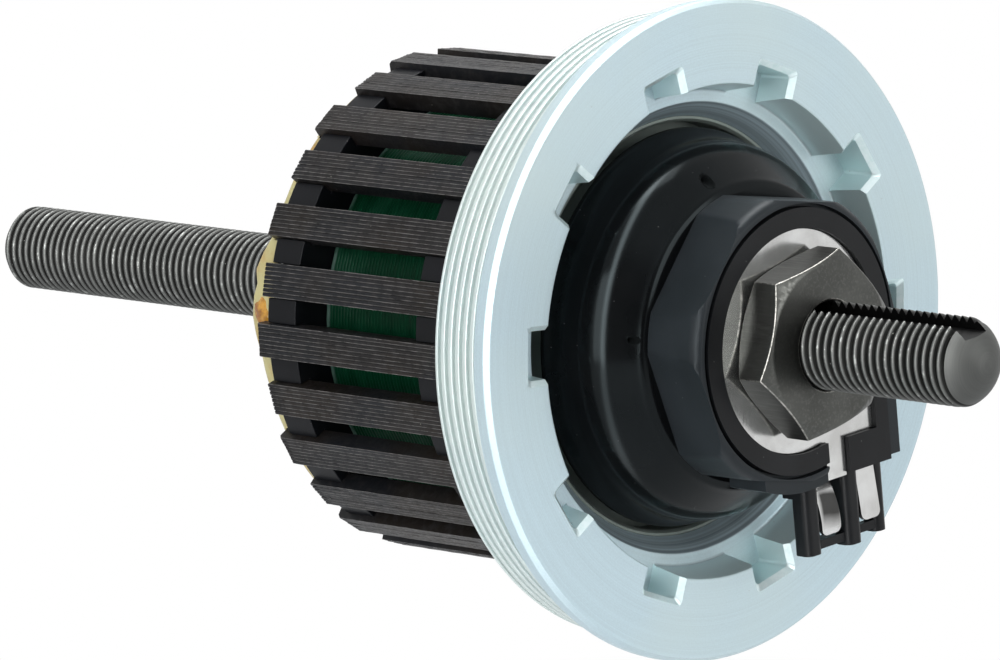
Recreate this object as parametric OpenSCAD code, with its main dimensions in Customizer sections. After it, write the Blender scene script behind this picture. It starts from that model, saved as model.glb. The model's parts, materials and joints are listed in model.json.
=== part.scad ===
// Inner unit of a bicycle hub dynamo: threaded axle, claw-pole stator with its coil, cone bearing,
// screwed flange with tool notches, dust cover and two-pole connector.
// Sizes in millimetres. The axle lies along Y with the hub's middle at the origin.
// The connector end is at -Y. +Z is up and the connector hangs down.

/* [Axle] */
// Length of the axle from tip to tip
axle_length = 140; // [110:0.5:170]
// Outside diameter of the axle's thread
axle_diameter = 9; // [8:0.5:12]
// Pitch of the axle's thread
axle_pitch = 1; // [0.75:0.25:1.5]
// Depth of the drawn thread grooves
axle_thread_depth = 0.42; // [0.3:0.01:0.6]
// Radius of the ball shape that rounds the connector end
axle_tip_round = 4.94; // [4.6:0.01:6]
// Width of the lead groove cut along the axle
groove_width = 3.2; // [2:0.1:4]
// Height of the groove's floor above the axle's centre
groove_floor = 2.9; // [2:0.1:3.6]
// Angle of the groove from straight up, towards the rear
groove_angle = 12; // [0:1:45]

/* [Flange] */
// Place of the flange's outer face along the axle
flange_face = -34; // [-40:0.1:-30]
// Outside diameter of the flange's rim
flange_diameter = 67.5; // [60:0.1:72]
// Thickness of the rim
flange_rim = 2.1; // [1.5:0.1:4]
// Outside diameter of the shell thread
shell_thread_diameter = 64; // [58:0.5:66]
// Pitch of the shell thread
shell_thread_pitch = 1; // [0.75:0.25:1.5]
// Number of thread turns on the flange
shell_thread_turns = 6; // [3:1:8]
// Depth of the recess in the face
recess_depth = 4.3; // [3:0.1:6]
// Number of tool notches
notch_count = 10; // [6:1:12]
// Radius of the notches' outer walls at their floor
notch_radius = 27.25; // [26:0.05:29]
// Width of a notch at its floor
notch_width = 4.7; // [3:0.1:6]
// Lean of the notch walls from the axle's direction
notch_taper = 2; // [0:0.5:20]
// Width of the bevel around a notch
notch_bevel = 0.55; // [0.1:0.05:1]

/* [Bearing] */
// Number of balls
ball_count = 15; // [9:1:17]
// Diameter of a ball
ball_diameter = 4.76; // [3:0.01:6]
// Radius of the circle through the ball centres
ball_circle = 13; // [12:0.1:15]
// Place of the ball centres along the axle
ball_place = -26.8; // [-28:0.1:-26]
// Clearance between a ball and its track
track_clearance = 0.07; // [0.02:0.01:0.1]

/* [Stator] */
// Number of claw poles, both sets together
pole_count = 26; // [16:2:32]
// Radius of the pole faces
pole_radius = 26.2; // [24:0.1:28]
// Width of a pole stack
pole_width = 3.5; // [2.5:0.1:4.5]
// Radial thickness of a pole finger
pole_thickness = 2; // [1.5:0.1:3.5]
// Connector end of the stator along the axle
stator_start = -21.2; // [-24:0.1:-20]
// Bare end of the stator along the axle
stator_end = 6.7; // [4:0.1:9]
// Thickness of a pole's radial leg
leg_thickness = 3.5; // [2:0.1:4.5]
// How far short of the other end a finger's tip stops
tip_setback = 0.9; // [0.3:0.1:2]
// Angle of one bare-end pole from the forward direction, turning upwards
pole_phase = 184.6; // [0:0.1:360]

/* [Coil] */
// Radius of the bobbin's end walls
bobbin_radius = 25.6; // [24:0.1:26.2]
// Connector end of the winding space
coil_start = -15.9; // [-18:0.1:-14]
// Bare end of the winding space
coil_end = 1.5; // [0:0.1:3]
// Outside radius of the finished winding
coil_radius = 21.42; // [18:0.01:22]
// Diameter of the drawn winding wire
wire_diameter = 0.42; // [0.3:0.01:0.6]
// Number of loops drawn in the outer layer
wire_loops = 20; // [10:1:24]

/* [Dust cover] */
// Radius of the raised drum of the cover
cover_radius = 19.4; // [18:0.1:20]
// Radius of the cover's rim
cover_rim = 20.4; // [19:0.1:20.6]
// Wall thickness of the cover
cover_wall = 1.2; // [0.8:0.1:2]

/* [Connector] */
// Width of the locknut across its flats
locknut_flats = 17; // [15:0.5:19]
// Place of the locknut's outer face, half the fork spacing
locknut_face = -49; // [-55:0.1:-45]
// Place of the terminal plate's outer face
plate_face = -44.35; // [-46:0.05:-43]
// Radius of the terminal plate
plate_radius = 11.35; // [9:0.05:12]
// Thickness of the terminal plate
plate_thickness = 0.6; // [0.4:0.05:1]
// Outside radius of the connector's inner ring
ring_radius = 13.55; // [12:0.05:14]
// Width of the collar across its flats
collar_flats = 28.2; // [26:0.1:30]
// Largest radius of the collar
collar_radius = 15.2; // [14:0.1:17]
// Tilt of the connector from straight down, towards the front
connector_tilt = 7; // [0:0.5:20]
// Drop from the axle's centre to the foot of the connector's posts
connector_drop = 23; // [20:0.1:26]
// Width of a connector post
post_width = 2.2; // [1.5:0.1:3]

/* [Hidden] */
$fn = 96;
half_axle = axle_length / 2;
thread_crest = 0.51;
thread_relief = 0.8;
axle_radius = axle_diameter / 2;
axle_root = axle_radius - axle_thread_depth;
ball_radius = ball_diameter / 2;
track_radius = ball_radius + track_clearance;
flange_radius = flange_diameter / 2;
shell_radius = shell_thread_diameter / 2;
shell_root = shell_radius - 0.61 * shell_thread_pitch;
shell_thread_start = flange_face + 2.7;
shell_thread_end = shell_thread_start + shell_thread_turns * shell_thread_pitch;
flange_back = shell_thread_end + 0.6;
flange_tube_end = flange_face + 12;
recess_floor = flange_face + recess_depth;
recess_radius = 25.2;
recess_foot = 24.4;
ledge_radius = 23.1;
cup_radius = 21.5;
cup_front = flange_face + 6.2;
cup_back = -22.4;
lip_inner = 20.9;
cone_shoulder = -36.9;
cone_end = -25;
cone_body = 8.6;
cone_lip = 12.2;
cover_front = -38.2;
cover_back = -28.3;
core_radius = 8.6;
locknut_back = plate_face;
plate_back = plate_face + plate_thickness;
live_front = -41.7;
live_back = -41.2;
collar_front = -44.8;
ring_front = -44.9;
web_back = -40.2;
gap_back = -39.6;
bore_gap = 0.1;
gap_left = 3.0;
gap_right = 12.3;
tongue_left = 3.1;
tongue_right = 5.9;
block_left = 6.0;
corner_across = 10.25;
corner_down = 11.15;
block_foot = 14.9;
post_front = -43.3;
post_back = -41;
post_round = 0.8;
header_front = -40.75;
header_back = -40.15;
header_top = 15.65;
header_foot = 16.9;
leaf_corner = 0.7;
leaf_thickness = 0.45;
leaf_bend = 8.15;
groove_end = -20.5;
lead_radius = 0.55;
conductor_radius = 0.25;
lead_in_groove = 3.7;
lead_drop = 11.4;
lead_bend_radius = 1;
pole_step = 360 / (pole_count / 2);
slot_width = pole_width + 0.1;
finger_inner = pole_radius - pole_thickness;
bobbin_start = stator_start + 1.2;
bobbin_end = stator_end - 1.2;
bobbin_tube = 10.4;
coil_core_radius = coil_radius - wire_diameter;
stator_nut_start = stator_end + 1.3;
stator_nut_end = stator_nut_start + 4;
steel = [0.34, 0.34, 0.35];
zinc = [0.74, 0.79, 0.82];
black = [0.1, 0.1, 0.11];

// Turns a list of [radius, place along the axle] points into a solid of revolution about the axle.
module turned(points) {
  rotate([-90, 0, 0]) rotate_extrude() polygon(points);
}

// A ring or disc about the axle, between two places along it.
module ring(inner, outer, start, end) {
  turned([[inner, start], [outer, start], [outer, end], [inner, end]]);
}

// A round bar along the axle's direction.
module bar_along(radius, start, end, sides = 96) {
  translate([0, end, 0]) rotate([90, 0, 0]) cylinder(r = radius, h = end - start, $fn = sides);
}

// Turns children from the forward direction upwards by an angle.
module at_angle(angle) {
  rotate([0, -angle, 0]) children();
}

// The connector's own axes: across is local X, down is local -Z.
module connector_axes() {
  rotate([0, -connector_tilt, 0]) children();
}

// A box in the connector's axes, given by across, along and down ranges.
module block(across, along, down) {
  translate([across[0], along[0], -down[1]])
    cube([across[1] - across[0], along[1] - along[0], down[1] - down[0]]);
}

// A post with rounded edges in the connector's axes.
module post(left, right, along, down) {
  block([left + post_round, right - post_round], along, down);
  block([left, right], [along[0] + post_round, along[1] - post_round], down);
  for (x = [left + post_round, right - post_round])
    for (y = [along[0] + post_round, along[1] - post_round])
      translate([x, y, -down[1]]) cylinder(r = post_round, h = down[1] - down[0], $fn = 24);
}

// A flat strip with rounded lower corners in the connector's axes, through a range along the axle.
module strip(across, along, down) {
  left = across[0];
  right = across[1];
  c = leaf_corner;
  foot = -down[1];
  translate([0, along[1], 0]) rotate([90, 0, 0]) linear_extrude(along[1] - along[0])
    polygon(concat([[right, -down[0]], [left, -down[0]]],
      arc_points([left + c, foot + c], c, 180, 270, 5),
      arc_points([right - c, foot + c], c, 270, 360, 5)));
}

// Profile points of ring grooves that stand for a thread, with flat crests of one height.
function thread_points(crest, root, start, pitch, turns) = [
  for (i = [0 : turns - 1]) each [
    [crest, start + i * pitch],
    [crest, start + (i + thread_crest) * pitch],
    [root, start + (i + thread_crest + 0.23) * pitch],
    [root, start + (i + 0.77) * pitch]
  ],
  [crest, start + turns * pitch]
];

// Profile points of an arc about a centre in the radius and place plane.
function arc_points(centre, radius, from, to, steps) = [
  for (i = [0 : steps])
    let (a = from + (to - from) * i / steps)
    [centre[0] + radius * cos(a), centre[1] + radius * sin(a)]
];

// A quarter bend of lead in the radius and place plane, about a centre, from a starting angle.
module lead_bend(centre, from) {
  translate([centre[0], centre[1], 0]) rotate([0, 0, from]) rotate_extrude(angle = 90)
    translate([lead_bend_radius, 0]) circle(r = lead_radius, $fn = 24);
}

// A hexagon nut with chamfered corners, about the axle.
module hex_nut(flats, start, end, phase, cut) {
  corner = flats / sqrt(3);
  face = flats / 2 - 0.3;
  beyond = corner + 0.6;
  run = cut * (beyond - face) / (corner - face);
  difference() {
    intersection() {
      at_angle(phase) bar_along(corner, start, end, 6);
      turned([[0, start], [face, start], [beyond, start + run], [beyond, end - run], [face, end],
        [0, end]]);
    }
    turned([[0, start - 1], [axle_radius + 0.15, start - 1], [axle_radius + 0.15, start],
      [axle_radius, start + 0.15], [axle_radius, end + 1], [0, end + 1]]);
  }
}

// A plain undercut where a thread ends under its nut.
function relief_points(start) = [
  [axle_radius, start], [axle_root, start], [axle_root, start + thread_relief],
  [axle_radius, start + thread_relief]
];

module axle() {
  threaded_start = -half_axle + 0.5;
  outer_turns = 20;
  bare_start = stator_nut_end - thread_relief;
  bare_turns = 57;
  color(steel) difference() {
    intersection() {
      turned(concat(
        [[0, -half_axle]],
        thread_points(axle_radius, axle_root, threaded_start, axle_pitch, outer_turns),
        relief_points(locknut_face - 0.02),
        relief_points(bare_start),
        thread_points(axle_radius, axle_root, stator_nut_end + 0.1, axle_pitch, bare_turns),
        [[axle_radius, half_axle - 0.8], [axle_radius - 0.35, half_axle - 0.3],
          [axle_radius - 0.9, half_axle], [0, half_axle]]));
      union() {
        translate([0, -half_axle + axle_tip_round, 0]) sphere(r = axle_tip_round);
        bar_along(axle_radius + 1, -half_axle + axle_tip_round - 2.2, half_axle + 1);
      }
    }
    at_angle(90 + groove_angle)
      translate([groove_floor, -half_axle - 1, -groove_width / 2])
        cube([axle_radius, groove_end + half_axle + 1, groove_width]);
  }
}

module locknut() {
  nut_phase = 17;
  color([0.36, 0.33, 0.3]) hex_nut(locknut_flats, locknut_face, locknut_back, nut_phase, 0.9);
}

// Ground side: the plate under the locknut, its tongue and the curved contact leaf.
module terminal_plate() {
  leaf_top = 15.2;
  leaf_foot = 21.2;
  leaf_centre = [-34.89, 20.34];
  color([0.78, 0.77, 0.74]) {
    difference() {
      union() {
        bar_along(plate_radius, plate_face, plate_back);
        connector_axes() {
          block([0, corner_across], [plate_face, plate_back], [0, corner_down]);
          block([tongue_left, tongue_right], [plate_face, plate_back], [8, leaf_top]);
        }
      }
      bar_along(axle_radius + bore_gap, plate_face - 1, plate_back + 1);
    }
    connector_axes() {
      block([tongue_left, tongue_right], [plate_face, -40.9],
        [leaf_top - leaf_thickness, leaf_top]);
      intersection() {
        difference() {
          translate([tongue_left, leaf_centre[0], -leaf_centre[1]]) rotate([0, 90, 0])
            cylinder(r = leaf_bend, h = tongue_right - tongue_left);
          translate([tongue_left - 1, leaf_centre[0], -leaf_centre[1]]) rotate([0, 90, 0])
            cylinder(r = leaf_bend - leaf_thickness, h = tongue_right - tongue_left + 2);
        }
        strip([tongue_left, tongue_right], [-44, -39], [leaf_top - 0.2, leaf_foot]);
      }
    }
  }
}

// Live side: the ring behind the connector body, its arm, a step and the flat contact leaf.
module live_terminal() {
  leaf_left = 8.95;
  leaf_right = 11.75;
  leaf_top = block_foot + 0.05;
  leaf_foot = 20.9;
  leaf_front = -42.6;
  lean = 6;
  color([0.8, 0.79, 0.76]) {
    ring(6, 9.4, live_front, live_back);
    connector_axes() {
      block([leaf_left, leaf_right], [live_front, live_back], [-1.5, leaf_top + leaf_thickness]);
      block([7, leaf_right], [live_front, live_back], [-1.5, 1.5]);
      block([leaf_left, leaf_right], [leaf_front + 0.1, live_back],
        [leaf_top, leaf_top + leaf_thickness]);
      translate([0, leaf_front, -leaf_top]) rotate([-lean, 0, 0])
        strip([leaf_left, leaf_right], [0, leaf_thickness], [0, (leaf_foot - leaf_top) / cos(lean)]);
    }
  }
}

// Black moulding: dish under the plate, ring, stepped block and the cage of three posts.
module connector_body() {
  pocket = 11.45;
  slot_back = -41;
  posts = [1.75, 7.8];
  last_post = [11.95, 13.75];
  last_front = -42.3;
  bar_top = 21.6;
  bar_foot = 22.5;
  half_post = post_width / 2;
  block_right = gap_right - 0.1;
  color(black) difference() {
    union() {
      bar_along(ring_radius, ring_front, live_front);
      connector_axes() {
        block([block_left, block_right], [ring_front, live_front], [corner_down, block_foot]);
        block([corner_across, block_right], [ring_front, live_front], [2, block_foot]);
        post(posts[0] - half_post, posts[0] + half_post, [post_front, post_back],
          [header_top, connector_drop - 0.2]);
        post(posts[1] - half_post, posts[1] + half_post, [post_front, post_back],
          [block_foot - 1.2, connector_drop]);
        post(last_post[0], last_post[1], [last_front, header_back],
          [block_foot - 0.6, connector_drop - 0.1]);
        block([gap_right - 2, last_post[1] - 0.2], [last_front, header_back],
          [block_foot - 1.2, block_foot - 0.1]);
        block([posts[0] - half_post, posts[1] + half_post], [header_front, header_back],
          [header_top, header_foot]);
        block([posts[1], last_post[1] - post_round], [header_front, header_back],
          [header_top, header_foot]);
        for (x = posts)
          block([x - half_post, x + half_post], [post_front + post_round, header_back],
            [header_top, header_foot]);
        block([posts[0], posts[1]], [-42.7, -41.2], [bar_top, bar_foot]);
        block([posts[1], last_post[1] - post_round], [-42, -41.2], [bar_top, bar_foot]);
      }
    }
    bar_along(axle_radius + 0.2, ring_front - 1, live_front + 1);
    bar_along(pocket, ring_front - 1, plate_back);
    connector_axes() {
      block([0, corner_across + 0.05], [ring_front - 1, plate_back], [0, corner_down + 0.05]);
      block([gap_left, block_left], [ring_front - 1, plate_back], [8, 25]);
      block([tongue_left - 0.1, block_left], [plate_back - 0.1, slot_back], [13.8, 15.4]);
      block([8.7, 11.9], [live_front - 0.05, live_back + 0.3], [13, 15.5]);
    }
  }
}

// Outer cap with six wrench flats around the connector body.
module connector_collar() {
  flat_phase = 54;
  hex_corner = collar_flats / sqrt(3);
  seat = ring_radius + 0.05;
  groove_wall = 13.95;
  nut_pocket = 9.9;
  lug_left = -6.3;
  lug_radius = 15.5;
  arm_side = 8.8;
  color([0.13, 0.14, 0.15]) difference() {
    union() {
      intersection() {
        turned([[0, collar_front], [14.15, collar_front], [14.6, -44.6], [14.9, -44.2],
          [15.05, -43.5], [collar_radius, cover_front], [0, cover_front]]);
        at_angle(flat_phase) bar_along(hex_corner, collar_front - 1, cover_front + 1, 6);
      }
      intersection() {
        bar_along(lug_radius, -44.5, gap_back);
        connector_axes() block([lug_left, gap_left], [-45, cover_front], [12, 20]);
      }
      connector_axes() block([gap_right, 14], [-44.5, gap_back], [2.5, 14.6]);
    }
    bar_along(groove_wall, collar_front - 1, -43.9);
    bar_along(seat, collar_front - 1, live_back);
    bar_along(5.4, live_back - 1, web_back + 1);
    bar_along(nut_pocket, web_back, cover_front + 1);
    connector_axes() {
      block([gap_left, gap_right], [collar_front - 1, gap_back], [10.5, 20]);
      block([corner_across - 0.1, gap_right], [collar_front - 1, live_back], [1.9, 20]);
      block([arm_side, gap_right], [collar_front - 1, live_back], [arm_side, 20]);
      block([gap_right - 0.1, gap_right + 3], [-42.4, gap_back + 1], [block_foot - 1.3, 20]);
    }
  }
}

module cone_locknut() {
  color([0.5, 0.5, 0.52]) hex_nut(17, web_back, cover_front, 30, 0.4);
}

module dust_cover() {
  hole = 7;
  shoulder_round = 4.5;
  shoulder = [cover_radius - shoulder_round, -32.34];
  inner_round = shoulder_round - cover_wall;
  pits = [[107.8, 16.76, 0.45], [176.6, 16.32, 0.32]];
  pit_floor = -36.4;
  color([0.09, 0.09, 0.1]) difference() {
    turned(concat(
      [[hole, cover_front], [collar_radius - 0.2, cover_front], [collar_radius + 0.5, -37.95],
        [16.1, -37.5]],
      arc_points(shoulder, shoulder_round, 315, 360, 8),
      [[cover_radius, -31.2], [cover_radius + 0.25, -30.2], [cover_radius + 0.65, -29.4],
        [cover_rim, -28.9], [cover_rim, cover_back], [cover_rim - 0.9, cover_back]],
      [[cover_radius - cover_wall, -30.4]],
      arc_points(shoulder, inner_round, 360, 315, 7),
      [[15, cone_shoulder], [hole, cone_shoulder]]));
    for (pit = pits)
      at_angle(pit[0]) translate([pit[1], pit_floor, 0]) rotate([90, 0, 0])
        cylinder(r = pit[2], h = 2.6, $fn = 24);
  }
}

module dust_seal() {
  color([0.06, 0.06, 0.06]) turned([[16.2, -28.9], [16.9, -28.9], [cover_radius - cover_wall, -30.6],
    [cover_radius - cover_wall, -31.8], [17.2, -31.8], [16.2, -30.2]]);
}

module bearing_cone() {
  color([0.55, 0.56, 0.58]) difference() {
    turned([[axle_radius, cone_shoulder], [cone_body, cone_shoulder], [cone_body, -32],
      [cone_lip, -30.3], [cone_lip, -28.2], [9.6, cone_end], [axle_radius, cone_end]]);
    rotate([-90, 0, 0]) translate([0, 0, ball_place]) rotate_extrude()
      translate([ball_circle, 0]) circle(r = track_radius, $fn = 64);
  }
}

module bearing_balls() {
  color([0.7, 0.7, 0.72]) for (i = [0 : ball_count - 1])
    at_angle(i * 360 / ball_count) translate([ball_circle, ball_place, 0])
      sphere(r = ball_radius, $fn = 32);
}

module ball_retainer() {
  front = -29.4;
  back = -28.6;
  reach = back - ball_place;
  hole = sqrt(ball_radius * ball_radius - reach * reach) + 0.03;
  color([0.6, 0.55, 0.4]) difference() {
    ring(cone_lip + 0.4, 15.5, front, back);
    for (i = [0 : ball_count - 1])
      at_angle(i * 360 / ball_count) translate([ball_circle, back + 1, 0]) rotate([90, 0, 0])
        cylinder(r = hole, h = 3, $fn = 32);
  }
}

module bearing_cup() {
  color([0.6, 0.62, 0.64]) difference() {
    turned([[cup_radius, cup_front], [cup_radius, cup_back], [12.4, cup_back], [12.4, -23.8],
      [13.2, -24], [15.9, -26.6], [15.9, -28.4], [16.9, -28.4], [16.9, -25.6], [18, -24.2],
      [lip_inner, -24.2], [lip_inner, cup_front + 0.3], [lip_inner + 0.3, cup_front]]);
    rotate([-90, 0, 0]) translate([0, 0, ball_place]) rotate_extrude()
      translate([ball_circle, 0]) circle(r = track_radius, $fn = 64);
  }
}

// A pocket above a base, with two side walls and an outer wall that lean outwards to the face.
module pocket(base, half, outer, lean) {
  reach = 12;
  intersection() {
    pocket_side(base, half, lean, 1);
    pocket_side(base, half, lean, -1);
    translate([outer, base, 0]) rotate([0, 0, lean])
      translate([-2 * reach, -2 * reach, -reach]) cube([2 * reach, 3 * reach, 2 * reach]);
    translate([ledge_radius, base - reach, -reach]) cube([reach, reach, 2 * reach]);
  }
}

module pocket_side(base, half, lean, side) {
  reach = 12;
  translate([0, base, side * half]) rotate([-side * lean, 0, 0])
    translate([0, -2 * reach, side > 0 ? -3 * reach : 0])
      cube([3 * reach, 3 * reach, 3 * reach]);
}

// A tool notch with a bevel around its mouth.
module notch() {
  rise = (recess_depth - notch_bevel) * tan(notch_taper) - 0.01;
  pocket(recess_floor, notch_width / 2, notch_radius, notch_taper);
  pocket(flange_face + notch_bevel, notch_width / 2 + rise, notch_radius + rise, 45);
}

module flange_ring() {
  wall = 2.1;
  web_floor = flange_back - 2;
  color(zinc) difference() {
    turned(concat(
      [[recess_radius, flange_face], [flange_radius - 0.4, flange_face],
        [flange_radius, flange_face + 0.4], [flange_radius, flange_face + flange_rim - 0.3],
        [flange_radius - 0.3, flange_face + flange_rim], [shell_root, flange_face + flange_rim]],
      thread_points(shell_radius, shell_root, shell_thread_start, shell_thread_pitch,
        shell_thread_turns),
      [[shell_root, flange_back], [shell_root - wall, flange_back],
        [shell_root - wall, web_floor], [24.6, web_floor], [24.6, flange_tube_end],
        [cup_radius, flange_tube_end], [cup_radius, cup_front], [ledge_radius, recess_floor],
        [recess_foot, recess_floor]]));
    for (i = [0 : notch_count - 1]) at_angle(i * 360 / notch_count) notch();
  }
}

module spacer_sleeve() {
  color([0.52, 0.53, 0.55]) difference() {
    ring(axle_radius, 7.5, cone_end, stator_start);
    at_angle(90 + groove_angle) translate([0, cone_end - 1, -0.9])
      cube([9, stator_start - cone_end + 2, 1.8]);
  }
}

module stator_core() {
  color([0.3, 0.3, 0.31]) ring(axle_radius, core_radius, stator_start, stator_end);
}

// One laminated stack: a radial leg from the core and a finger along the coil.
module claw(root_start, root_end, finger_start, finger_end) {
  translate([core_radius, root_start, -pole_width / 2])
    cube([pole_radius - core_radius, root_end - root_start, pole_width]);
  translate([finger_inner, finger_start, -pole_width / 2])
    cube([pole_thickness, finger_end - finger_start, pole_width]);
}

module poles_bare_end() {
  color([0.2, 0.19, 0.18]) for (i = [0 : pole_count / 2 - 1])
    at_angle(pole_phase + i * pole_step)
      claw(stator_end - leg_thickness, stator_end, stator_start + tip_setback, stator_end);
}

module poles_connector_end() {
  color([0.22, 0.21, 0.2]) for (i = [0 : pole_count / 2 - 1])
    at_angle(pole_phase + (i + 0.5) * pole_step)
      claw(stator_start, stator_start + leg_thickness, stator_start, stator_end - tip_setback - 0.2);
}

module bobbin() {
  reach = 30;
  color([0.12, 0.14, 0.17]) difference() {
    turned([[core_radius, bobbin_start], [bobbin_radius, bobbin_start], [bobbin_radius, coil_start],
      [bobbin_tube, coil_start], [bobbin_tube, coil_end], [bobbin_radius, coil_end],
      [bobbin_radius, bobbin_end], [core_radius, bobbin_end]]);
    for (i = [0 : pole_count - 1]) at_angle(pole_phase + i * pole_step / 2)
      translate([finger_inner - 0.1, bobbin_start - 1, -slot_width / 2])
        cube([reach, bobbin_end - bobbin_start + 2, slot_width]);
    for (i = [0 : pole_count / 2 - 1]) at_angle(pole_phase + i * pole_step)
      translate([core_radius - 1, stator_end - leg_thickness, -slot_width / 2])
        cube([reach, leg_thickness + 1, slot_width]);
    for (i = [0 : pole_count / 2 - 1]) at_angle(pole_phase + (i + 0.5) * pole_step)
      translate([core_radius - 1, stator_start - 1, -slot_width / 2])
        cube([reach, leg_thickness + 1, slot_width]);
    at_angle(90 + groove_angle) translate([lead_drop, coil_start + 1, 0]) rotate([90, 0, 0])
      cylinder(r = lead_radius + 0.1, h = 8, $fn = 24);
  }
}

module coil_core() {
  color([0.05, 0.24, 0.16]) ring(bobbin_tube, coil_core_radius, coil_start, coil_end);
}

// Outer layer of the winding: one tube that winds along the coil.
wire_sides = 6;
wire_rings = 24;
wire_run = coil_end - coil_start - wire_diameter - 0.1;
wire_first = coil_start + wire_diameter / 2 + 0.05;
wire_middle = coil_radius - wire_diameter / 2;
function wire_centre(i) =
  [wire_middle * cos(i * 360 / wire_rings), wire_first + wire_run * i / (wire_rings * wire_loops),
    wire_middle * sin(i * 360 / wire_rings)];
function wire_point(i, j) =
  let (c = wire_centre(i), a = i * 360 / wire_rings, b = j * 360 / wire_sides,
    r = wire_diameter / 2)
  c + [r * cos(b) * cos(a), r * sin(b), r * cos(b) * sin(a)];
wire_points = [for (i = [0 : wire_rings * wire_loops]) for (j = [0 : wire_sides - 1])
  wire_point(i, j)];
function least(values, i = 0, best = 1e6) =
  i == len(values) ? best : least(values, i + 1, min(best, values[i]));
wire_gap = least([for (i = [0 : wire_rings * (wire_loops - 1)]) for (j = [0 : wire_sides - 1])
  for (k = [0 : wire_sides - 1]) norm(wire_point(i + wire_rings, k) - wire_point(i, j))]);

module coil_winding() {
  last = wire_rings * wire_loops;
  echo(least_gap_of_winding = wire_gap);
  color([0.04, 0.33, 0.22]) polyhedron(points = wire_points, faces = concat(
    [for (i = [0 : last - 1]) for (j = [0 : wire_sides - 1])
      let (k = (j + 1) % wire_sides, a = i * wire_sides, b = (i + 1) * wire_sides)
      [a + j, b + j, b + k, a + k]],
    [[for (j = [0 : wire_sides - 1]) j]],
    [[for (j = [wire_sides - 1 : -1 : 0]) last * wire_sides + j]]), convexity = 10);
}

// A slot for a pole in the insulating film.
module film_slot(inner, start, end) {
  translate([inner - 1, start, -slot_width / 2]) cube([5, end - start, slot_width]);
}

// Amber insulating film around the bare end, between and behind the pole legs.
module end_insulator() {
  inner = 22.9;
  outer = 25;
  film_start = bobbin_end + 0.05;
  tip = stator_end - tip_setback - 0.2;
  color([0.78, 0.66, 0.4]) difference() {
    ring(inner, outer, film_start, stator_nut_start);
    for (i = [0 : pole_count / 2 - 1]) at_angle(pole_phase + i * pole_step)
      film_slot(inner, film_start - 1, stator_end);
    for (i = [0 : pole_count / 2 - 1]) at_angle(pole_phase + (i + 0.5) * pole_step)
      film_slot(inner, film_start - 1, tip + 0.05);
  }
}

// Drop of resin over the soldered end of the coil.
module resin_bead() {
  middle = 24;
  radius = 1.8;
  color([0.78, 0.46, 0.14]) at_angle(177) translate([middle, stator_nut_start, 0])
    rotate([-90, 0, 0]) rotate_extrude($fn = 32)
      polygon(concat([[0, 0]], arc_points([0, 0], radius, 0, 90, 7)));
}

module live_lead() {
  turn_in = -21;
  turn_along = turn_in - 2 * lead_bend_radius;
  strip = -41.1;
  middle = (live_front + live_back) / 2;
  color([0.12, 0.12, 0.13]) at_angle(90 + groove_angle) {
    translate([lead_drop, 0, 0]) bar_along(lead_radius, turn_in, coil_start - 0.1, 24);
    lead_bend([lead_drop - lead_bend_radius, turn_in], -90);
    translate([lead_in_groove + lead_bend_radius, turn_in - lead_bend_radius, 0])
      rotate([0, 90, 0])
        cylinder(r = lead_radius, h = lead_drop - lead_in_groove - 2 * lead_bend_radius, $fn = 24);
    lead_bend([lead_in_groove + lead_bend_radius, turn_along], 90);
    translate([lead_in_groove, 0, 0]) bar_along(lead_radius, strip, turn_along, 24);
    translate([lead_in_groove, 0, 0]) bar_along(conductor_radius, middle - 0.4, strip + 0.2, 24);
    translate([lead_in_groove, middle, 0]) rotate([0, 90, 0])
      cylinder(r = conductor_radius - 0.02, h = 6 - lead_in_groove, $fn = 24);
  }
}

module ground_lead() {
  wire = 0.4;
  start = 10.6;
  length = 11.9;
  color([0.6, 0.33, 0.16]) at_angle(182)
    translate([start, stator_nut_start + wire, 0]) rotate([0, 90, 0])
      cylinder(r = wire, h = length, $fn = 24);
}

module stator_washer() {
  color([0.62, 0.63, 0.65]) ring(axle_radius, 12, stator_end, stator_nut_start);
}

module stator_nut() {
  color([0.5, 0.5, 0.51]) hex_nut(15, stator_nut_start, stator_nut_end, 10, 0.6);
}

axle();
locknut();
terminal_plate();
live_terminal();
connector_body();
connector_collar();
cone_locknut();
dust_cover();
dust_seal();
bearing_cone();
bearing_balls();
ball_retainer();
bearing_cup();
flange_ring();
spacer_sleeve();
stator_core();
poles_bare_end();
poles_connector_end();
bobbin();
coil_core();
coil_winding();
end_insulator();
resin_bead();
live_lead();
ground_lead();
stator_washer();
stator_nut();
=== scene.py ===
import json
import math
import random
from collections import namedtuple

import bmesh
import bpy
from mathutils import Matrix, Vector, noise


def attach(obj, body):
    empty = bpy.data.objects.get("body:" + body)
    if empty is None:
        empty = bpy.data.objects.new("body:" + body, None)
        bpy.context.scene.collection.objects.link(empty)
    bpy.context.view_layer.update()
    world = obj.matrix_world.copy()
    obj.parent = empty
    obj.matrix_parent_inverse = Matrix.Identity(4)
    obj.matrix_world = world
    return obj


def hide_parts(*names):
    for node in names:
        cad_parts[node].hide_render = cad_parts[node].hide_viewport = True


bl_info = {
    "name": "Hub dynamo",
    "version": (1, 0, 0),
    "blender": (4, 5, 0),
    "location": "3D view > Sidebar > Hub dynamo",
    "description": "Dresses the inner unit of a bicycle hub dynamo for a studio picture",
    "category": "Object",
}

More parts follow.
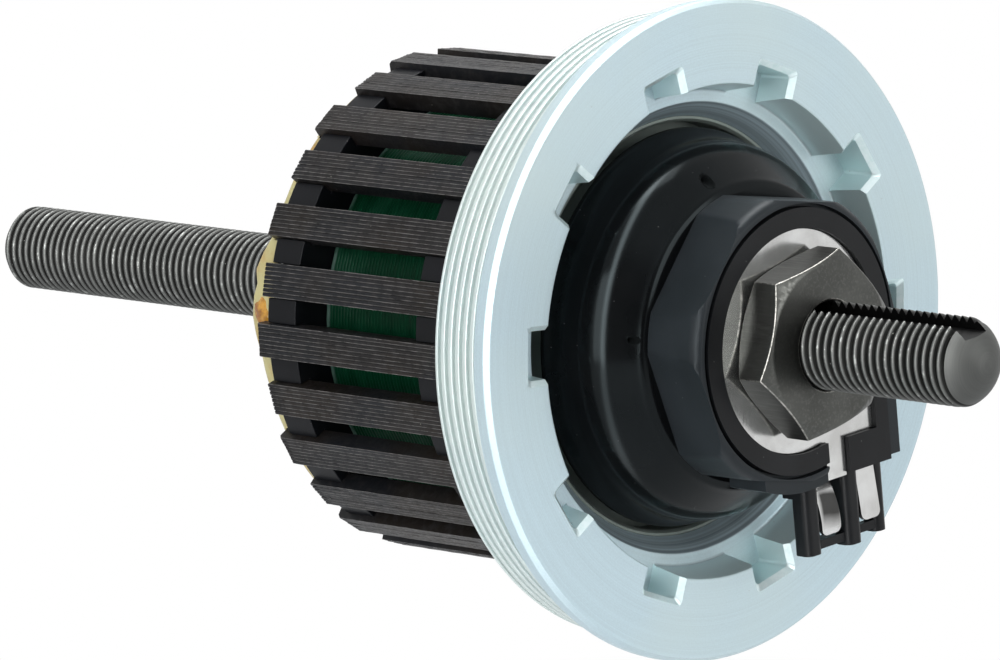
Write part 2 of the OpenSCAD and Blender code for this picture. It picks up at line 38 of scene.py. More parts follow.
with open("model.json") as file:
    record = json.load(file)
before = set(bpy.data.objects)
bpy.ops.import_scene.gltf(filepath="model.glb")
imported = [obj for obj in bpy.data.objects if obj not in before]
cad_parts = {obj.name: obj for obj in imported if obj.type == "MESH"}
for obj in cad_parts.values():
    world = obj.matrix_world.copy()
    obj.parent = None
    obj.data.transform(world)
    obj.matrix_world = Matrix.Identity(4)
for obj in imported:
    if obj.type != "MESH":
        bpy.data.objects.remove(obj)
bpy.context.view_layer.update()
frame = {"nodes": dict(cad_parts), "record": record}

# Blender's lengths are metres. The shapes are written in millimetres and multiplied by MM
MM = 0.001
PER_MM = 1 / MM
FULL_TURN = 2 * math.pi

# Vertices that lie closer than this are welded
SAME_POINT = 0.001 * MM

AXLE_UNIT = "axle_unit"
FLANGE = "flange"

# Claws in each of the two pole sets, and the angle of the bare end's first one, in degrees from
# forward towards up
CLAWS = 13
FIRST_CLAW = 184.6


# Sizes and colours that a user would change


class AxleSizes(bpy.types.PropertyGroup):
    """Sizes of the threaded axle"""

    radius: bpy.props.FloatProperty(
        name="Radius", description="Radius over the thread crests", default=4.5 * MM, unit="LENGTH")
    thread_depth: bpy.props.FloatProperty(
        name="Thread depth", description="Depth of the thread grooves", default=0.56 * MM,
        unit="LENGTH")
    pitch: bpy.props.FloatProperty(
        name="Pitch", description="Distance between neighbouring crests", default=1.0 * MM,
        unit="LENGTH")
    groove_width: bpy.props.FloatProperty(
        name="Groove width", description="Width of the lead groove at the connector end",
        default=3.2 * MM, unit="LENGTH")


class StatorSizes(bpy.types.PropertyGroup):
    """Sizes of the laminated poles and the coil"""

    sheets: bpy.props.IntProperty(
        name="Sheets", description="Steel sheets in one pole stack", default=8, min=2, max=12)
    sheet_gap: bpy.props.FloatProperty(
        name="Sheet gap", description="Gap that shows between two sheets", default=0.015 * MM,
        unit="LENGTH")
    wire: bpy.props.FloatProperty(
        name="Wire", description="Diameter of the enamelled wire", default=0.45 * MM, unit="LENGTH")
    turns: bpy.props.IntProperty(
        name="Turns", description="Turns in the outer layer of the coil", default=38, min=24,
        max=40)


class Finish(bpy.types.PropertyGroup):
    """Colours of the main finishes"""

    zinc: bpy.props.FloatVectorProperty(
        name="Zinc", description="Pale zinc plate of the flange", default=(0.480, 0.600, 0.650),
        subtype="COLOR")
    cover: bpy.props.FloatVectorProperty(
        name="Cover", description="Black of the dust cover", default=(0.0030, 0.0032, 0.0036),
        subtype="COLOR")
    collar: bpy.props.FloatVectorProperty(
        name="Collar", description="Charcoal of the connector collar",
        default=(0.013, 0.0155, 0.018), subtype="COLOR")
    enamel: bpy.props.FloatVectorProperty(
        name="Enamel", description="Green of the wire's enamel", default=(0.0015, 0.036, 0.015),
        subtype="COLOR")
    laminations: bpy.props.FloatVectorProperty(
        name="Laminations", description="Dark varnish on the pole stacks",
        default=(0.0100, 0.0095, 0.0096), subtype="COLOR")
    film: bpy.props.FloatVectorProperty(
        name="Film", description="Amber insulating film", default=(0.62, 0.56, 0.27),
        subtype="COLOR")


class Studio(bpy.types.PropertyGroup):
    """The stage around the object"""

    lens: bpy.props.FloatProperty(
        name="Lens", description="Focal length of the camera in millimetres", default=289.8)
    floor_height: bpy.props.FloatProperty(
        name="Floor height", description="Height of the floor below the axle", default=-250 * MM,
        unit="LENGTH")
    lamp_level: bpy.props.FloatProperty(
        name="Lamp level", description="Multiplies the power of every lamp", default=1.0, min=0)
    dark_front: bpy.props.FloatProperty(
        name="Dark front", description="Light left in the dark part of the room behind the camera",
        default=0.12, min=0, max=1)
    arch_level: bpy.props.FloatProperty(
        name="Arch level", description="Strength of the light arch that shiny surfaces mirror",
        default=11.5, min=0)
    strip_level: bpy.props.FloatProperty(
        name="Strip level", description="Strength of the light strip on the floor that shiny "
        "surfaces mirror, which carries the arch on towards the object", default=4.0, min=0)


GROUPS = {
    "dynamo_axle": AxleSizes,
    "dynamo_stator": StatorSizes,
    "dynamo_finish": Finish,
    "dynamo_studio": Studio,
}


# Node trees


def add_node(tree, kind, settings=None, **inputs):
    """Adds a node, sets its properties and its inputs; an input may be a value or a socket."""
    made = tree.nodes.new(kind)
    for key, value in (settings or {}).items():
        setattr(made, key, value)
    for key, value in inputs.items():
        socket = made.inputs[int(key[1:])] if key[0] == "_" else made.inputs[key.replace("_", " ")]
        if isinstance(value, bpy.types.NodeSocket):
            tree.links.new(value, socket)
        else:
            socket.default_value = value
    return made


def feed(tree, node, **outputs):
    """Links outputs to the inputs of a node that have the same names."""
    for key, output in outputs.items():
        tree.links.new(output, node.inputs[key.replace("_", " ")])


def new_group(name, inputs, outputs):
    """A shader node group with named number sockets: its tree, input node and output node."""
    tree = bpy.data.node_groups.new(name, "ShaderNodeTree")
    for label, default in inputs.items():
        socket = tree.interface.new_socket(label, in_out="INPUT", socket_type="NodeSocketFloat")
        socket.default_value = default
    for label in outputs:
        tree.interface.new_socket(label, in_out="OUTPUT", socket_type="NodeSocketFloat")
    return tree, tree.nodes.new("NodeGroupInput"), tree.nodes.new("NodeGroupOutput")


def maths(tree, operation, a, b=0.0, clamp=False):
    return add_node(
        tree, "ShaderNodeMath", {"operation": operation, "use_clamp": clamp}, _0=a, _1=b).outputs[0]


def added(tree, a, b):
    return maths(tree, "ADD", a, b)


def multiplied(tree, a, b, clamp=False):
    return maths(tree, "MULTIPLY", a, b, clamp)


def vector_maths(tree, operation, first, **inputs):
    return add_node(
        tree, "ShaderNodeVectorMath", {"operation": operation}, _0=first, **inputs).outputs


def facing(tree, ray, direction):
    """Cosine of the angle between a ray and a direction."""
    return vector_maths(tree, "DOT_PRODUCT", ray, _1=direction)["Value"]


def spread(tree, value, low, high, to_low=0.0, to_high=1.0):
    """Maps a range of a value to another range, and holds it there."""
    return add_node(
        tree, "ShaderNodeMapRange", {"clamp": True}, Value=value, From_Min=low, From_Max=high,
        To_Min=to_low, To_Max=to_high).outputs[0]


def blended(tree, amount, first, second):
    """A colour between two colours, each a value or a socket."""
    amount_input, first_input, second_input, colour_output = 0, 6, 7, 2
    mixer = tree.nodes.new("ShaderNodeMix")
    mixer.data_type = "RGBA"
    tree.links.new(amount, mixer.inputs[amount_input])
    for index, colour in ((first_input, first), (second_input, second)):
        socket = mixer.inputs[index]
        if isinstance(colour, bpy.types.NodeSocket):
            tree.links.new(colour, socket)
        else:
            socket.default_value = (*colour, 1)
    return mixer.outputs[colour_output]


def object_place(tree):
    return tree.nodes.new("ShaderNodeTexCoord").outputs["Object"]


def split_place(tree, place):
    """The forward, along-axle and upward parts of a place."""
    return add_node(tree, "ShaderNodeSeparateXYZ", _0=place).outputs


def away_from_axle(tree, place):
    """The part of a place that points straight away from the axle."""
    split = split_place(tree, place)
    return add_node(tree, "ShaderNodeCombineXYZ", _0=split[0], _2=split[2]).outputs[0]


def face_value(tree, name):
    """The value that the mesh's faces carry under a name."""
    return add_node(
        tree, "ShaderNodeAttribute",
        {"attribute_type": "GEOMETRY", "attribute_name": name}).outputs["Fac"]


def noisy(tree, place, scale, detail, roughness=0.5):
    """Noise with so many cells to the metre."""
    return add_node(
        tree, "ShaderNodeTexNoise", Vector=place, Scale=scale, Detail=detail,
        Roughness=roughness).outputs[0]


def streaky(tree, place, scale, detail, roughness=0.5, rotation=(0.0, 0.0, 0.0)):
    """Noise drawn out into streaks, with so many cells to the metre along each axis."""
    stretched = add_node(
        tree, "ShaderNodeMapping", Vector=place, Rotation=rotation, Scale=scale)
    return noisy(tree, stretched.outputs[0], 1.0, detail, roughness)


def scaled(colour, factor):
    return [part * factor for part in colour]


def tinted(colour, factors):
    """A colour with a factor of its own for red, green and blue."""
    return [part * factor for part, factor in zip(colour, factors)]


# Effects that several materials share


def make_turning_marks():
    """Fine rings about the axle, as a lathe leaves them, on faces and on cylinders."""
    tree, given, result = new_group(
        "Turning marks", {"Rings per mm": 6.0, "Unevenness": 0.5}, ("Height", "Tone"))
    rings_along = 1.37
    wide_rings = 0.13
    place = object_place(tree)
    away = away_from_axle(tree, place)
    radius = vector_maths(tree, "LENGTH", away)["Value"]
    path = added(tree, radius, multiplied(tree, split_place(tree, place)[1], rings_along))
    rings = multiplied(tree, multiplied(tree, path, PER_MM), given.outputs["Rings per mm"])
    around = vector_maths(tree, "NORMALIZE", away)[0]
    slow = vector_maths(tree, "SCALE", around, Scale=given.outputs["Unevenness"])[0]
    fine = add_node(
        tree, "ShaderNodeTexNoise", {"noise_dimensions": "4D"}, Vector=slow, W=rings, Scale=1.0,
        Detail=3.0, Roughness=0.6).outputs[0]
    wide = add_node(
        tree, "ShaderNodeTexNoise", {"noise_dimensions": "4D"}, Vector=slow,
        W=multiplied(tree, rings, wide_rings), Scale=1.0, Detail=2.0).outputs[0]
    mean = added(tree, multiplied(tree, fine, 0.5), multiplied(tree, wide, 0.5))
    feed(tree, result, Height=fine, Tone=mean)
    return tree


def make_edge_wear():
    """Mask of the worn edges, broken up by noise."""
    tree, given, result = new_group(
        "Edge wear", {"Amount": 0.6, "Grains per mm": 1.5}, ("Mask",))
    cells = multiplied(tree, given.outputs["Grains per mm"], PER_MM)
    rubbed = noisy(tree, object_place(tree), cells, detail=4.0, roughness=0.6)
    broken = spread(tree, rubbed, 0.32, 0.62)
    worn = multiplied(tree, face_value(tree, "worn_edge"), broken)
    feed(tree, result, Mask=multiplied(tree, worn, given.outputs["Amount"], clamp=True))
    return tree


def make_grain():
    """Fine even grain of a moulded or blasted surface, and wide clouds of tone."""
    tree, given, result = new_group("Moulded grain", {"Grains per mm": 6.0}, ("Height", "Tone"))
    cloud_cells = 180.0
    place = object_place(tree)
    fine_cells = multiplied(tree, given.outputs["Grains per mm"], PER_MM)
    feed(tree, result, Height=noisy(tree, place, fine_cells, detail=3.0, roughness=0.65),
         Tone=noisy(tree, place, cloud_cells, detail=4.0))
    return tree


def make_dust():
    """Mask of small pale specks and a faint uneven film."""
    tree, given, result = new_group(
        "Dust", {"Amount": 0.5, "Specks per mm": 1.6}, ("Mask",))
    film_cells, film_share = 120.0, 0.03
    place = object_place(tree)
    cells = add_node(
        tree, "ShaderNodeTexVoronoi", {"feature": "F1"}, Vector=place,
        Scale=multiplied(tree, given.outputs["Specks per mm"], PER_MM), Randomness=1.0)
    speck = spread(tree, cells.outputs["Distance"], 0.10, 0.06)
    lottery = add_node(tree, "ShaderNodeSeparateColor", _0=cells.outputs["Color"])
    rare = spread(tree, lottery.outputs[0], 0.93, 0.95)
    patch = spread(tree, noisy(tree, place, film_cells, detail=3.0), 0.5, 0.8)
    film = multiplied(tree, patch, film_share)
    dusty = added(tree, multiplied(tree, speck, rare), film)
    feed(tree, result, Mask=multiplied(tree, dusty, given.outputs["Amount"], clamp=True))
    return tree


def make_thread_wear_and_light():
    """Masks of the thread crests, rubbed and given a painted highlight, and of the roots, for dirt
    and painted shade, from the distance to the axle.
    """
    tree, given, result = new_group(
        "Thread crests", {"Root in mm": 4.0, "Crest in mm": 4.48}, ("Mask", "Grime"))
    rub_and_glint_cells = 900.0
    place = object_place(tree)
    radius = vector_maths(tree, "LENGTH", away_from_axle(tree, place))["Value"]
    height = spread(
        tree, multiplied(tree, radius, PER_MM), given.outputs["Root in mm"],
        given.outputs["Crest in mm"])
    rubbed = spread(tree, noisy(tree, place, rub_and_glint_cells, detail=5.0, roughness=0.7), 0.3, 0.65)
    feed(tree, result, Mask=multiplied(tree, height, rubbed),
         Grime=maths(tree, "SUBTRACT", 1.0, height))
    return tree


EFFECT_MAKERS = {
    "turning marks": make_turning_marks,
    "edge wear": make_edge_wear,
    "grain": make_grain,
    "dust": make_dust,
    "thread crests": make_thread_wear_and_light,
}
EFFECTS = {}


def effect(tree, name, **inputs):
    """Places a shared effect in a material. Its group is built when it is first asked for."""
    if name not in EFFECTS:
        EFFECTS[name] = EFFECT_MAKERS[name]()
    placed = tree.nodes.new("ShaderNodeGroup")
    placed.node_tree = EFFECTS[name]
    for key, value in inputs.items():
        placed.inputs[key.replace("_", " ")].default_value = value
    return placed.outputs


def new_material(name, **constants):
    """A material with a Principled shader whose plain sockets are set here."""
    material = bpy.data.materials.new(name)
    material.use_nodes = True
    tree = material.node_tree
    shader = tree.nodes["Principled BSDF"]
    for key, value in constants.items():
        shader.inputs[key.replace("_", " ")].default_value = value
    return material, tree, shader


def bump(tree, shader, height, distance, strength):
    """Raises the surface by a height from 0 to 1, times a distance in metres."""
    made = add_node(
        tree, "ShaderNodeBump", Strength=strength, Distance=distance, Height=height)
    feed(tree, shader, Normal=made.outputs[0])


# Materials


def zinc_plate(colour):
    """Satin zinc with turning marks. Milled walls are even and painted lighter as painted light,
    the bore is painted darker for oil and for painted shade, and the shell thread is painted paler
    as painted light."""
    # The first colour here is painted light: a paler tone that the shell thread takes for the light
    # it catches
    thread_light_colour, bare_edge, speck = (0.60, 0.67, 0.65), (0.90, 0.96, 0.98), (0.36, 0.35, 0.33)
    # The second colour here is painted light: a lighter tone that the milled walls take for the
    # light they catch
    yellowed, wall_light_colour = tinted(colour, (1.06, 1.0, 0.90)), tinted(colour, (1.30, 1.29, 1.20))
    plain_roughness = 0.31
    material, tree, shader = new_material("Pale zinc plate", Metallic=0.50)
    marks = effect(tree, "turning marks", Rings_per_mm=7.0, Unevenness=0.2)
    grain = effect(tree, "grain", Grains_per_mm=4.5)
    wear = effect(tree, "edge wear", Amount=0.8, Grains_per_mm=1.2)
    dust = effect(tree, "dust", Amount=0.35, Specks_per_mm=0.9)
    milled = face_value(tree, "milled")
    cloud = noisy(tree, object_place(tree), 45.0, detail=3.0)
    mottled = added(
        tree, multiplied(tree, marks["Height"], 0.60), multiplied(tree, grain["Height"], 0.40))
    lathe_tone = blended(
        tree, spread(tree, mottled, 0.34, 0.66), scaled(colour, 0.87), scaled(colour, 1.06))
    clouded = blended(tree, spread(tree, cloud, 0.42, 0.78, 0.0, 0.6), lathe_tone, yellowed)
    # Painted light: the milled walls, and most of the recess wall, take the lighter colour
    with_wall_light = blended(tree, milled, clouded, wall_light_colour)
    # Painted light: the shell thread is painted paler, a little less in some places
    thread_light = multiplied(
        tree, face_value(tree, "thread"), spread(tree, cloud, 0.30, 0.60, 0.75, 1.0))
    with_thread_light = blended(tree, thread_light, with_wall_light, thread_light_colour)
    # Oil and painted shade: the bore is painted darker
    oiled_and_shaded = blended(
        tree, spread(tree, marks["Height"], 0.35, 0.65), scaled(colour, 0.52), scaled(colour, 0.95))
    shaded = blended(tree, face_value(tree, "bore"), with_thread_light, oiled_and_shaded)
    edged = blended(tree, wear["Mask"], shaded, bare_edge)
    lathed = maths(tree, "SUBTRACT", 1.0, milled)
    ringed = multiplied(tree, spread(tree, marks["Height"], 0.3, 0.7, 0.09, 0.19), lathed)
    feed(tree, shader, Base_Color=blended(tree, dust["Mask"], edged, speck),
         Roughness=added(tree, ringed, plain_roughness))
    height = added(
        tree, multiplied(tree, marks["Height"], lathed), multiplied(tree, grain["Height"], 0.6))
    bump(tree, shader, height, 0.009 * MM, strength=0.8)
    return material


def bearing_steel(name, colour, rough, ring_depth=0.006 * MM, metallic=1.0):
    """Turned or ground steel, whose rings show in its tone, gloss and height."""
    material, tree, shader = new_material(name, Metallic=metallic)
    marks = effect(tree, "turning marks", Rings_per_mm=6.0, Unevenness=0.4)
    toned = blended(tree, spread(tree, marks["Tone"], 0.3, 0.7), scaled(colour, 0.85), colour)
    feed(tree, shader, Base_Color=toned,
         Roughness=spread(tree, marks["Height"], 0.3, 0.7, rough * 0.8, rough * 1.25))
    bump(tree, shader, marks["Height"], ring_depth, strength=0.6)
    return material


def dark_steel(name, colour, worn_colour, rough):
    """Dark treated steel with a drawn grain along the axle, worn edges and faint stains."""
    cells_across, cells_along = 3200.0, 260.0
    material, tree, shader = new_material(name, Metallic=1.0)
    grain = effect(tree, "grain", Grains_per_mm=5.0)
    wear = effect(tree, "edge wear", Amount=0.75, Grains_per_mm=2.2)
    drawn = streaky(
        tree, object_place(tree), (cells_across, cells_along, cells_across), detail=4.0,
        roughness=0.7)
    stained = blended(tree, spread(tree, grain["Tone"], 0.35, 0.65), scaled(colour, 0.70), colour)
    streaked = blended(
        tree, spread(tree, drawn, 0.5, 0.75, 0.0, 0.5), stained, scaled(colour, 1.7))
    feed(tree, shader, Base_Color=blended(tree, wear["Mask"], streaked, worn_colour),
         Roughness=spread(tree, drawn, 0.3, 0.7, rough * 1.2, rough * 0.85))
    bump(tree, shader, added(tree, grain["Height"], drawn), 0.006 * MM, strength=0.6)
    return material


def threaded_steel(colour):
    """Dark steel of the axle: crests with wear and a painted highlight, roots with dirt and painted
    shade, turned ends and an oily groove.
    """
    # The first colour is the crests' wear and painted highlight, the second the roots' dirt and
    # painted shade
    bright, root, facet = scaled(colour, 2.3), scaled(colour, 0.10), scaled(colour, 0.7)
    speck, oil = (0.42, 0.42, 0.40), (0.010, 0.010, 0.010)
    material, tree, shader = new_material("Threaded dark steel", Metallic=1.0)
    crests = effect(tree, "thread crests", Root_in_mm=3.98, Crest_in_mm=4.47)
    grain = effect(tree, "grain", Grains_per_mm=4.0)
    dust = effect(tree, "dust", Amount=0.8, Specks_per_mm=1.8)
    rings = effect(tree, "turning marks", Rings_per_mm=5.0, Unevenness=0.3)
    # Dirt and painted shade darken the thread's roots; wear and a painted highlight brighten its
    # crests
    grimy_and_shaded = blended(tree, spread(tree, crests["Grime"], 0.05, 0.45), colour, root)
    shiny = blended(tree, spread(tree, crests["Mask"], 0.70, 1.0), grimy_and_shaded, bright)
    dusty = blended(tree, dust["Mask"], shiny, speck)
    faced = blended(tree, spread(tree, rings["Tone"], 0.30, 0.70), facet, colour)
    tipped = blended(tree, face_value(tree, "turned_tip"), dusty, faced)
    feed(tree, shader, Base_Color=blended(tree, face_value(tree, "oily"), tipped, oil),
         Roughness=spread(tree, crests["Mask"], 0.0, 1.0, 0.55, 0.40))
    bump(tree, shader, grain["Height"], 0.012 * MM, strength=0.6)
    return material


def moulded_plastic(name, colour, rough, grain_depth, dust_amount, grains=6.0, gloss=0.2,
                    tint=(1.0, 1.0, 1.0, 1.0)):
    """Moulded plastic or satin paint: fine grain, rubbed edges, dust, and pits painted near black
    as painted shade.
    """
    rub = [part * 1.5 + 0.006 for part in colour]
    # The second colour here is painted shade for the inside of the pits
    speck, hollow = (0.20, 0.20, 0.195), (0.001, 0.001, 0.001)
    pit_roughness = 0.8
    material, tree, shader = new_material(
        name, Metallic=0.0, Specular_IOR_Level=gloss, Specular_Tint=tint)
    grain = effect(tree, "grain", Grains_per_mm=grains)
    wear = effect(tree, "edge wear", Amount=0.5, Grains_per_mm=1.6)
    dust = effect(tree, "dust", Amount=dust_amount, Specks_per_mm=1.5)
    pit = face_value(tree, "pit")
    toned = blended(
        tree, spread(tree, grain["Tone"], 0.35, 0.65), scaled(colour, 0.82), scaled(colour, 1.12))
    dusty = blended(tree, dust["Mask"], blended(tree, wear["Mask"], toned, rub), speck)
    uneven = spread(tree, grain["Tone"], 0.3, 0.7, rough * 0.88, rough * 1.12)
    # Painted shade: the pits take the near black colour
    feed(tree, shader, Base_Color=blended(tree, pit, dusty, hollow),
         Roughness=added(tree, uneven, multiplied(tree, pit, pit_roughness)))
    bump(tree, shader, grain["Height"], grain_depth, strength=0.7)
    return material


def nickel_strip():
    """Bright nickel with fine straight scratches, and a dark painted shade over the curved leaf."""
    pale, stained, worn = (0.64, 0.645, 0.64), (0.52, 0.52, 0.51), (0.78, 0.77, 0.75)
    # The dark colour and its amount on this line are painted shade on the curved leaf
    leaf_shade_colour, leaf_shade_amount, ragged = (0.020, 0.020, 0.019), 0.93, 0.8 * MM
    leaf_top, leaf_foot = (-15.9 * MM, -16.5 * MM), (-20.1 * MM, -18.3 * MM)
    leaf_front, leaf_back = (8.6 * MM, 8.1 * MM), (5.4 * MM, 5.9 * MM)
    scratch_angle = math.radians(35)
    material, tree, shader = new_material("Nickel strip", Metallic=0.95)
    place = object_place(tree)
    scratches = streaky(
        tree, place, (9000.0, 400.0, 500.0), detail=3.0, roughness=0.7,
        rotation=(0.0, scratch_angle, 0.0))
    stains = noisy(tree, place, 260.0, detail=4.0)
    wear = effect(tree, "edge wear", Amount=0.5, Grains_per_mm=1.5)
    base = blended(tree, spread(tree, stains, 0.4, 0.65), pale, stained)
    forward, _, upward = split_place(tree, place)
    height = added(
        tree, upward, multiplied(tree, maths(tree, "SUBTRACT", stains, 0.5), ragged))
    leaf = multiplied(
        tree, spread(tree, height, *leaf_top), spread(tree, height, *leaf_foot))
    sides = multiplied(
        tree, spread(tree, forward, *leaf_front), spread(tree, forward, *leaf_back))
    # Painted shade: a ragged dark patch over the curved leaf
    leaf_shade = multiplied(tree, multiplied(tree, leaf, sides), leaf_shade_amount)
    leaf_shaded = blended(tree, leaf_shade, base, leaf_shade_colour)
    feed(tree, shader, Base_Color=blended(tree, wear["Mask"], leaf_shaded, worn),
         Roughness=spread(tree, scratches, 0.3, 0.7, 0.13, 0.24))
    bump(tree, shader, scratches, 0.003 * MM, strength=0.6)
    return material


def lamination_varnish(colour):
    """Dark varnished sheet edges, each with a thin pale burr along its rim."""
    browner, bluer = tinted(colour, (1.35, 1.05, 0.80)), tinted(colour, (0.85, 1.0, 1.25))
    gap_tone, bare_spot = scaled(colour, 0.12), scaled(colour, 2.2)
    burr_colour, speck = (0.172, 0.164, 0.158), (0.26, 0.25, 0.22)
    material, tree, shader = new_material(
        "Varnished laminations", Metallic=0.0, Specular_IOR_Level=0.18)
    place = object_place(tree)
    grain = effect(tree, "grain", Grains_per_mm=3.0)
    dust = effect(tree, "dust", Amount=0.9, Specks_per_mm=1.3)
    torn = noisy(tree, place, 1100.0, detail=3.0, roughness=0.6)
    cloud = noisy(tree, place, 85.0, detail=2.0)
    varnished = blended(tree, spread(tree, cloud, 0.42, 0.58), browner, bluer)
    toned = blended(tree, face_value(tree, "sheet_tone"), gap_tone, varnished)
    spotted = blended(tree, spread(tree, torn, 0.48, 0.70, 0.0, 0.7), toned, bare_spot)
    burr = multiplied(tree, face_value(tree, "worn_edge"), spread(tree, torn, 0.30, 0.50))
    burred = blended(tree, burr, spotted, burr_colour)
    feed(tree, shader, Base_Color=blended(tree, dust["Mask"], burred, speck),
         Roughness=spread(tree, grain["Height"], 0.3, 0.7, 0.38, 0.55))
    bump(tree, shader, grain["Height"], 0.014 * MM, strength=0.6)
    return material


def green_enamel(colour):
    """Deep green varnish over the wires, paler where it gathered, with a painted highlight in a
    band along the bare end.
    """
    pale = (colour[0] * 2.4 + 0.010, colour[1] * 2.4, colour[2] * 3.0)
    # A pale green painted highlight along the bare end of the coil
    bare_end_highlight_colour = (0.12, 0.20, 0.17)
    rim_start, rim_end = (0.6 * MM, 0.9 * MM), (1.5 * MM, 1.1 * MM)
    material, tree, shader = new_material(
        "Green enamelled wire", Metallic=0.0, Specular_IOR_Level=0.06, Coat_Roughness=0.22)
    place = object_place(tree)
    tone = spread(tree, streaky(tree, place, (160.0, 1400.0, 160.0), detail=3.0), 0.3, 0.7)
    cloud = noisy(tree, place, 130.0, detail=4.0)
    patch = noisy(tree, place, 420.0, detail=3.0)
    along = split_place(tree, place)[1]
    # Painted highlight: a ragged pale band near the bare end
    rim = multiplied(
        tree, spread(tree, along, *rim_start),
        multiplied(tree, spread(tree, along, *rim_end),
                   spread(tree, patch, 0.40, 0.62, 0.15, 0.8)))
    deep = blended(tree, tone, scaled(colour, 0.8), scaled(colour, 1.15))
    gathered = blended(tree, spread(tree, cloud, 0.50, 0.75, 0.0, 0.8), deep, pale)
    feed(tree, shader, Base_Color=blended(tree, rim, gathered, bare_end_highlight_colour),
         Roughness=spread(tree, tone, 0.0, 1.0, 0.32, 0.48),
         Coat_Weight=spread(tree, cloud, 0.45, 0.7, 0.0, 0.12))
    return material


def amber_film(colour):
    """Thin translucent film with browner clouds."""
    browned = tinted(colour, (0.85, 0.60, 0.40))
    material, tree, shader = new_material(
        "Amber film", Metallic=0.0, Transmission_Weight=0.2, IOR=1.5, Specular_IOR_Level=0.4)
    cloud = noisy(tree, object_place(tree), 240.0, detail=5.0, roughness=0.6)
    feed(tree, shader,
         Base_Color=blended(tree, spread(tree, cloud, 0.45, 0.66), colour, browned),
         Roughness=spread(tree, cloud, 0.3, 0.7, 0.34, 0.55))
    bump(tree, shader, cloud, 0.08 * MM, strength=0.6)
    return material


def amber_resin():
    """Clear amber drop, clouded with darker amber."""
    clear, dark = (0.88, 0.45, 0.06), (0.38, 0.14, 0.015)
    material, tree, shader = new_material(
        "Amber resin", Metallic=0.0, Transmission_Weight=0.35, IOR=1.52)
    cloud = noisy(tree, object_place(tree), 620.0, detail=5.0, roughness=0.65)
    feed(tree, shader, Base_Color=blended(tree, spread(tree, cloud, 0.38, 0.62), clear, dark),
         Roughness=spread(tree, cloud, 0.3, 0.7, 0.10, 0.24))
    bump(tree, shader, cloud, 0.10 * MM, strength=0.5)
    return material


def soft_metal(name, dark, pale, grains, glossy, dull, grain_depth=0.0):
    """Brass or copper whose tone and gloss change with its grain."""
    material, tree, shader = new_material(name, Metallic=1.0)
    grain = effect(tree, "grain", Grains_per_mm=grains)
    feed(tree, shader, Base_Color=blended(tree, spread(tree, grain["Tone"], 0.3, 0.7), dark, pale),
         Roughness=spread(tree, grain["Height"], 0.3, 0.7, glossy, dull))
    if grain_depth:
        bump(tree, shader, grain["Height"], grain_depth, strength=0.5)
    return material


MATERIALS = {}


def material_for(slot):
    """The material that dresses a slot of the record, made when it is first asked for."""
    finish = bpy.context.scene.dynamo_finish
    makers = {
        "axle_steel": lambda: threaded_steel((0.104, 0.107, 0.103)),
        "nut_steel": lambda: dark_steel(
            "Burnished nut steel", (0.090, 0.092, 0.086), worn_colour=(0.42, 0.41, 0.38),
            rough=0.34),
        "hidden_nut_steel": lambda: dark_steel(
            "Zinc-plated nut steel", (0.36, 0.36, 0.37), worn_colour=(0.62, 0.62, 0.62),
            rough=0.36),
        "nickel_strip": nickel_strip,
        "connector_plastic": lambda: moulded_plastic(
            "Black connector moulding", (0.0060, 0.0066, 0.0076), rough=0.34,
            grain_depth=0.010 * MM, dust_amount=0.6, gloss=0.17),
        "collar_plastic": lambda: moulded_plastic(
            "Charcoal collar moulding", tuple(finish.collar), rough=0.46,
            grain_depth=0.012 * MM, dust_amount=0.4, gloss=0.20, tint=(0.88, 0.97, 1.0, 1.0)),
        "cover_black": lambda: moulded_plastic(
            "Satin black cover", tuple(finish.cover), rough=0.16, grain_depth=0.003 * MM,
            dust_amount=0.45, gloss=0.13, tint=(0.78, 0.95, 1.0, 1.0)),
        "seal_rubber": lambda: moulded_plastic(
            "Seal rubber", (0.012, 0.012, 0.012), rough=0.62, grain_depth=0.03 * MM,
            dust_amount=0.6, grains=3.0),
        "bearing_steel": lambda: bearing_steel(
            "Ground bearing steel", (0.20, 0.235, 0.215), rough=0.50, ring_depth=0.020 * MM,
            metallic=0.5),
        "ball_steel": lambda: bearing_steel(
            "Polished ball steel", (0.74, 0.75, 0.76), rough=0.06),
        "retainer_brass": lambda: soft_metal(
            "Pressed brass", (0.62, 0.44, 0.17), (0.80, 0.62, 0.28), grains=4.0, glossy=0.22,
            dull=0.36, grain_depth=0.008 * MM),
        "zinc_plate": lambda: zinc_plate(tuple(finish.zinc)),
        "pole_steel": lambda: lamination_varnish(tuple(finish.laminations)),
        "core_steel": lambda: bearing_steel(
            "Turned core steel", (0.34, 0.34, 0.35), rough=0.34),
        "bobbin_plastic": lambda: moulded_plastic(
            "Blue-black bobbin moulding", (0.0050, 0.0055, 0.0070), rough=0.38,
            grain_depth=0.012 * MM, dust_amount=0.7, gloss=0.12),
        "green_enamel": lambda: green_enamel(tuple(finish.enamel)),
        "amber_film": lambda: amber_film(tuple(finish.film)),
        "amber_resin": amber_resin,
        "lead_sheath": lambda: moulded_plastic(
            "Black lead sheath", (0.014, 0.014, 0.015), rough=0.3, grain_depth=0.004 * MM,
            dust_amount=0.2),
        "copper_lead": lambda: soft_metal(
            "Varnished copper", (0.42, 0.15, 0.06), (0.66, 0.28, 0.12), grains=5.0, glossy=0.20,
            dull=0.32),
    }
    if slot not in MATERIALS:
        MATERIALS[slot] = makers[slot]()
    return MATERIALS[slot]


def slot_of(node):
    """The material slot that the record gives a node."""
    for row in frame["record"]["subparts"]:
        if row["node"] == node:
            return row["material_slot"]
    raise RuntimeError(f"no slot is recorded for {node}")


def body_of(node):
    """The body that the record puts a node in."""
    for body, nodes in frame["record"]["behaviour"]["bodies"].items():
        if node in nodes:
            return body
    raise RuntimeError(f"{node} is in no body")


# Mesh helpers


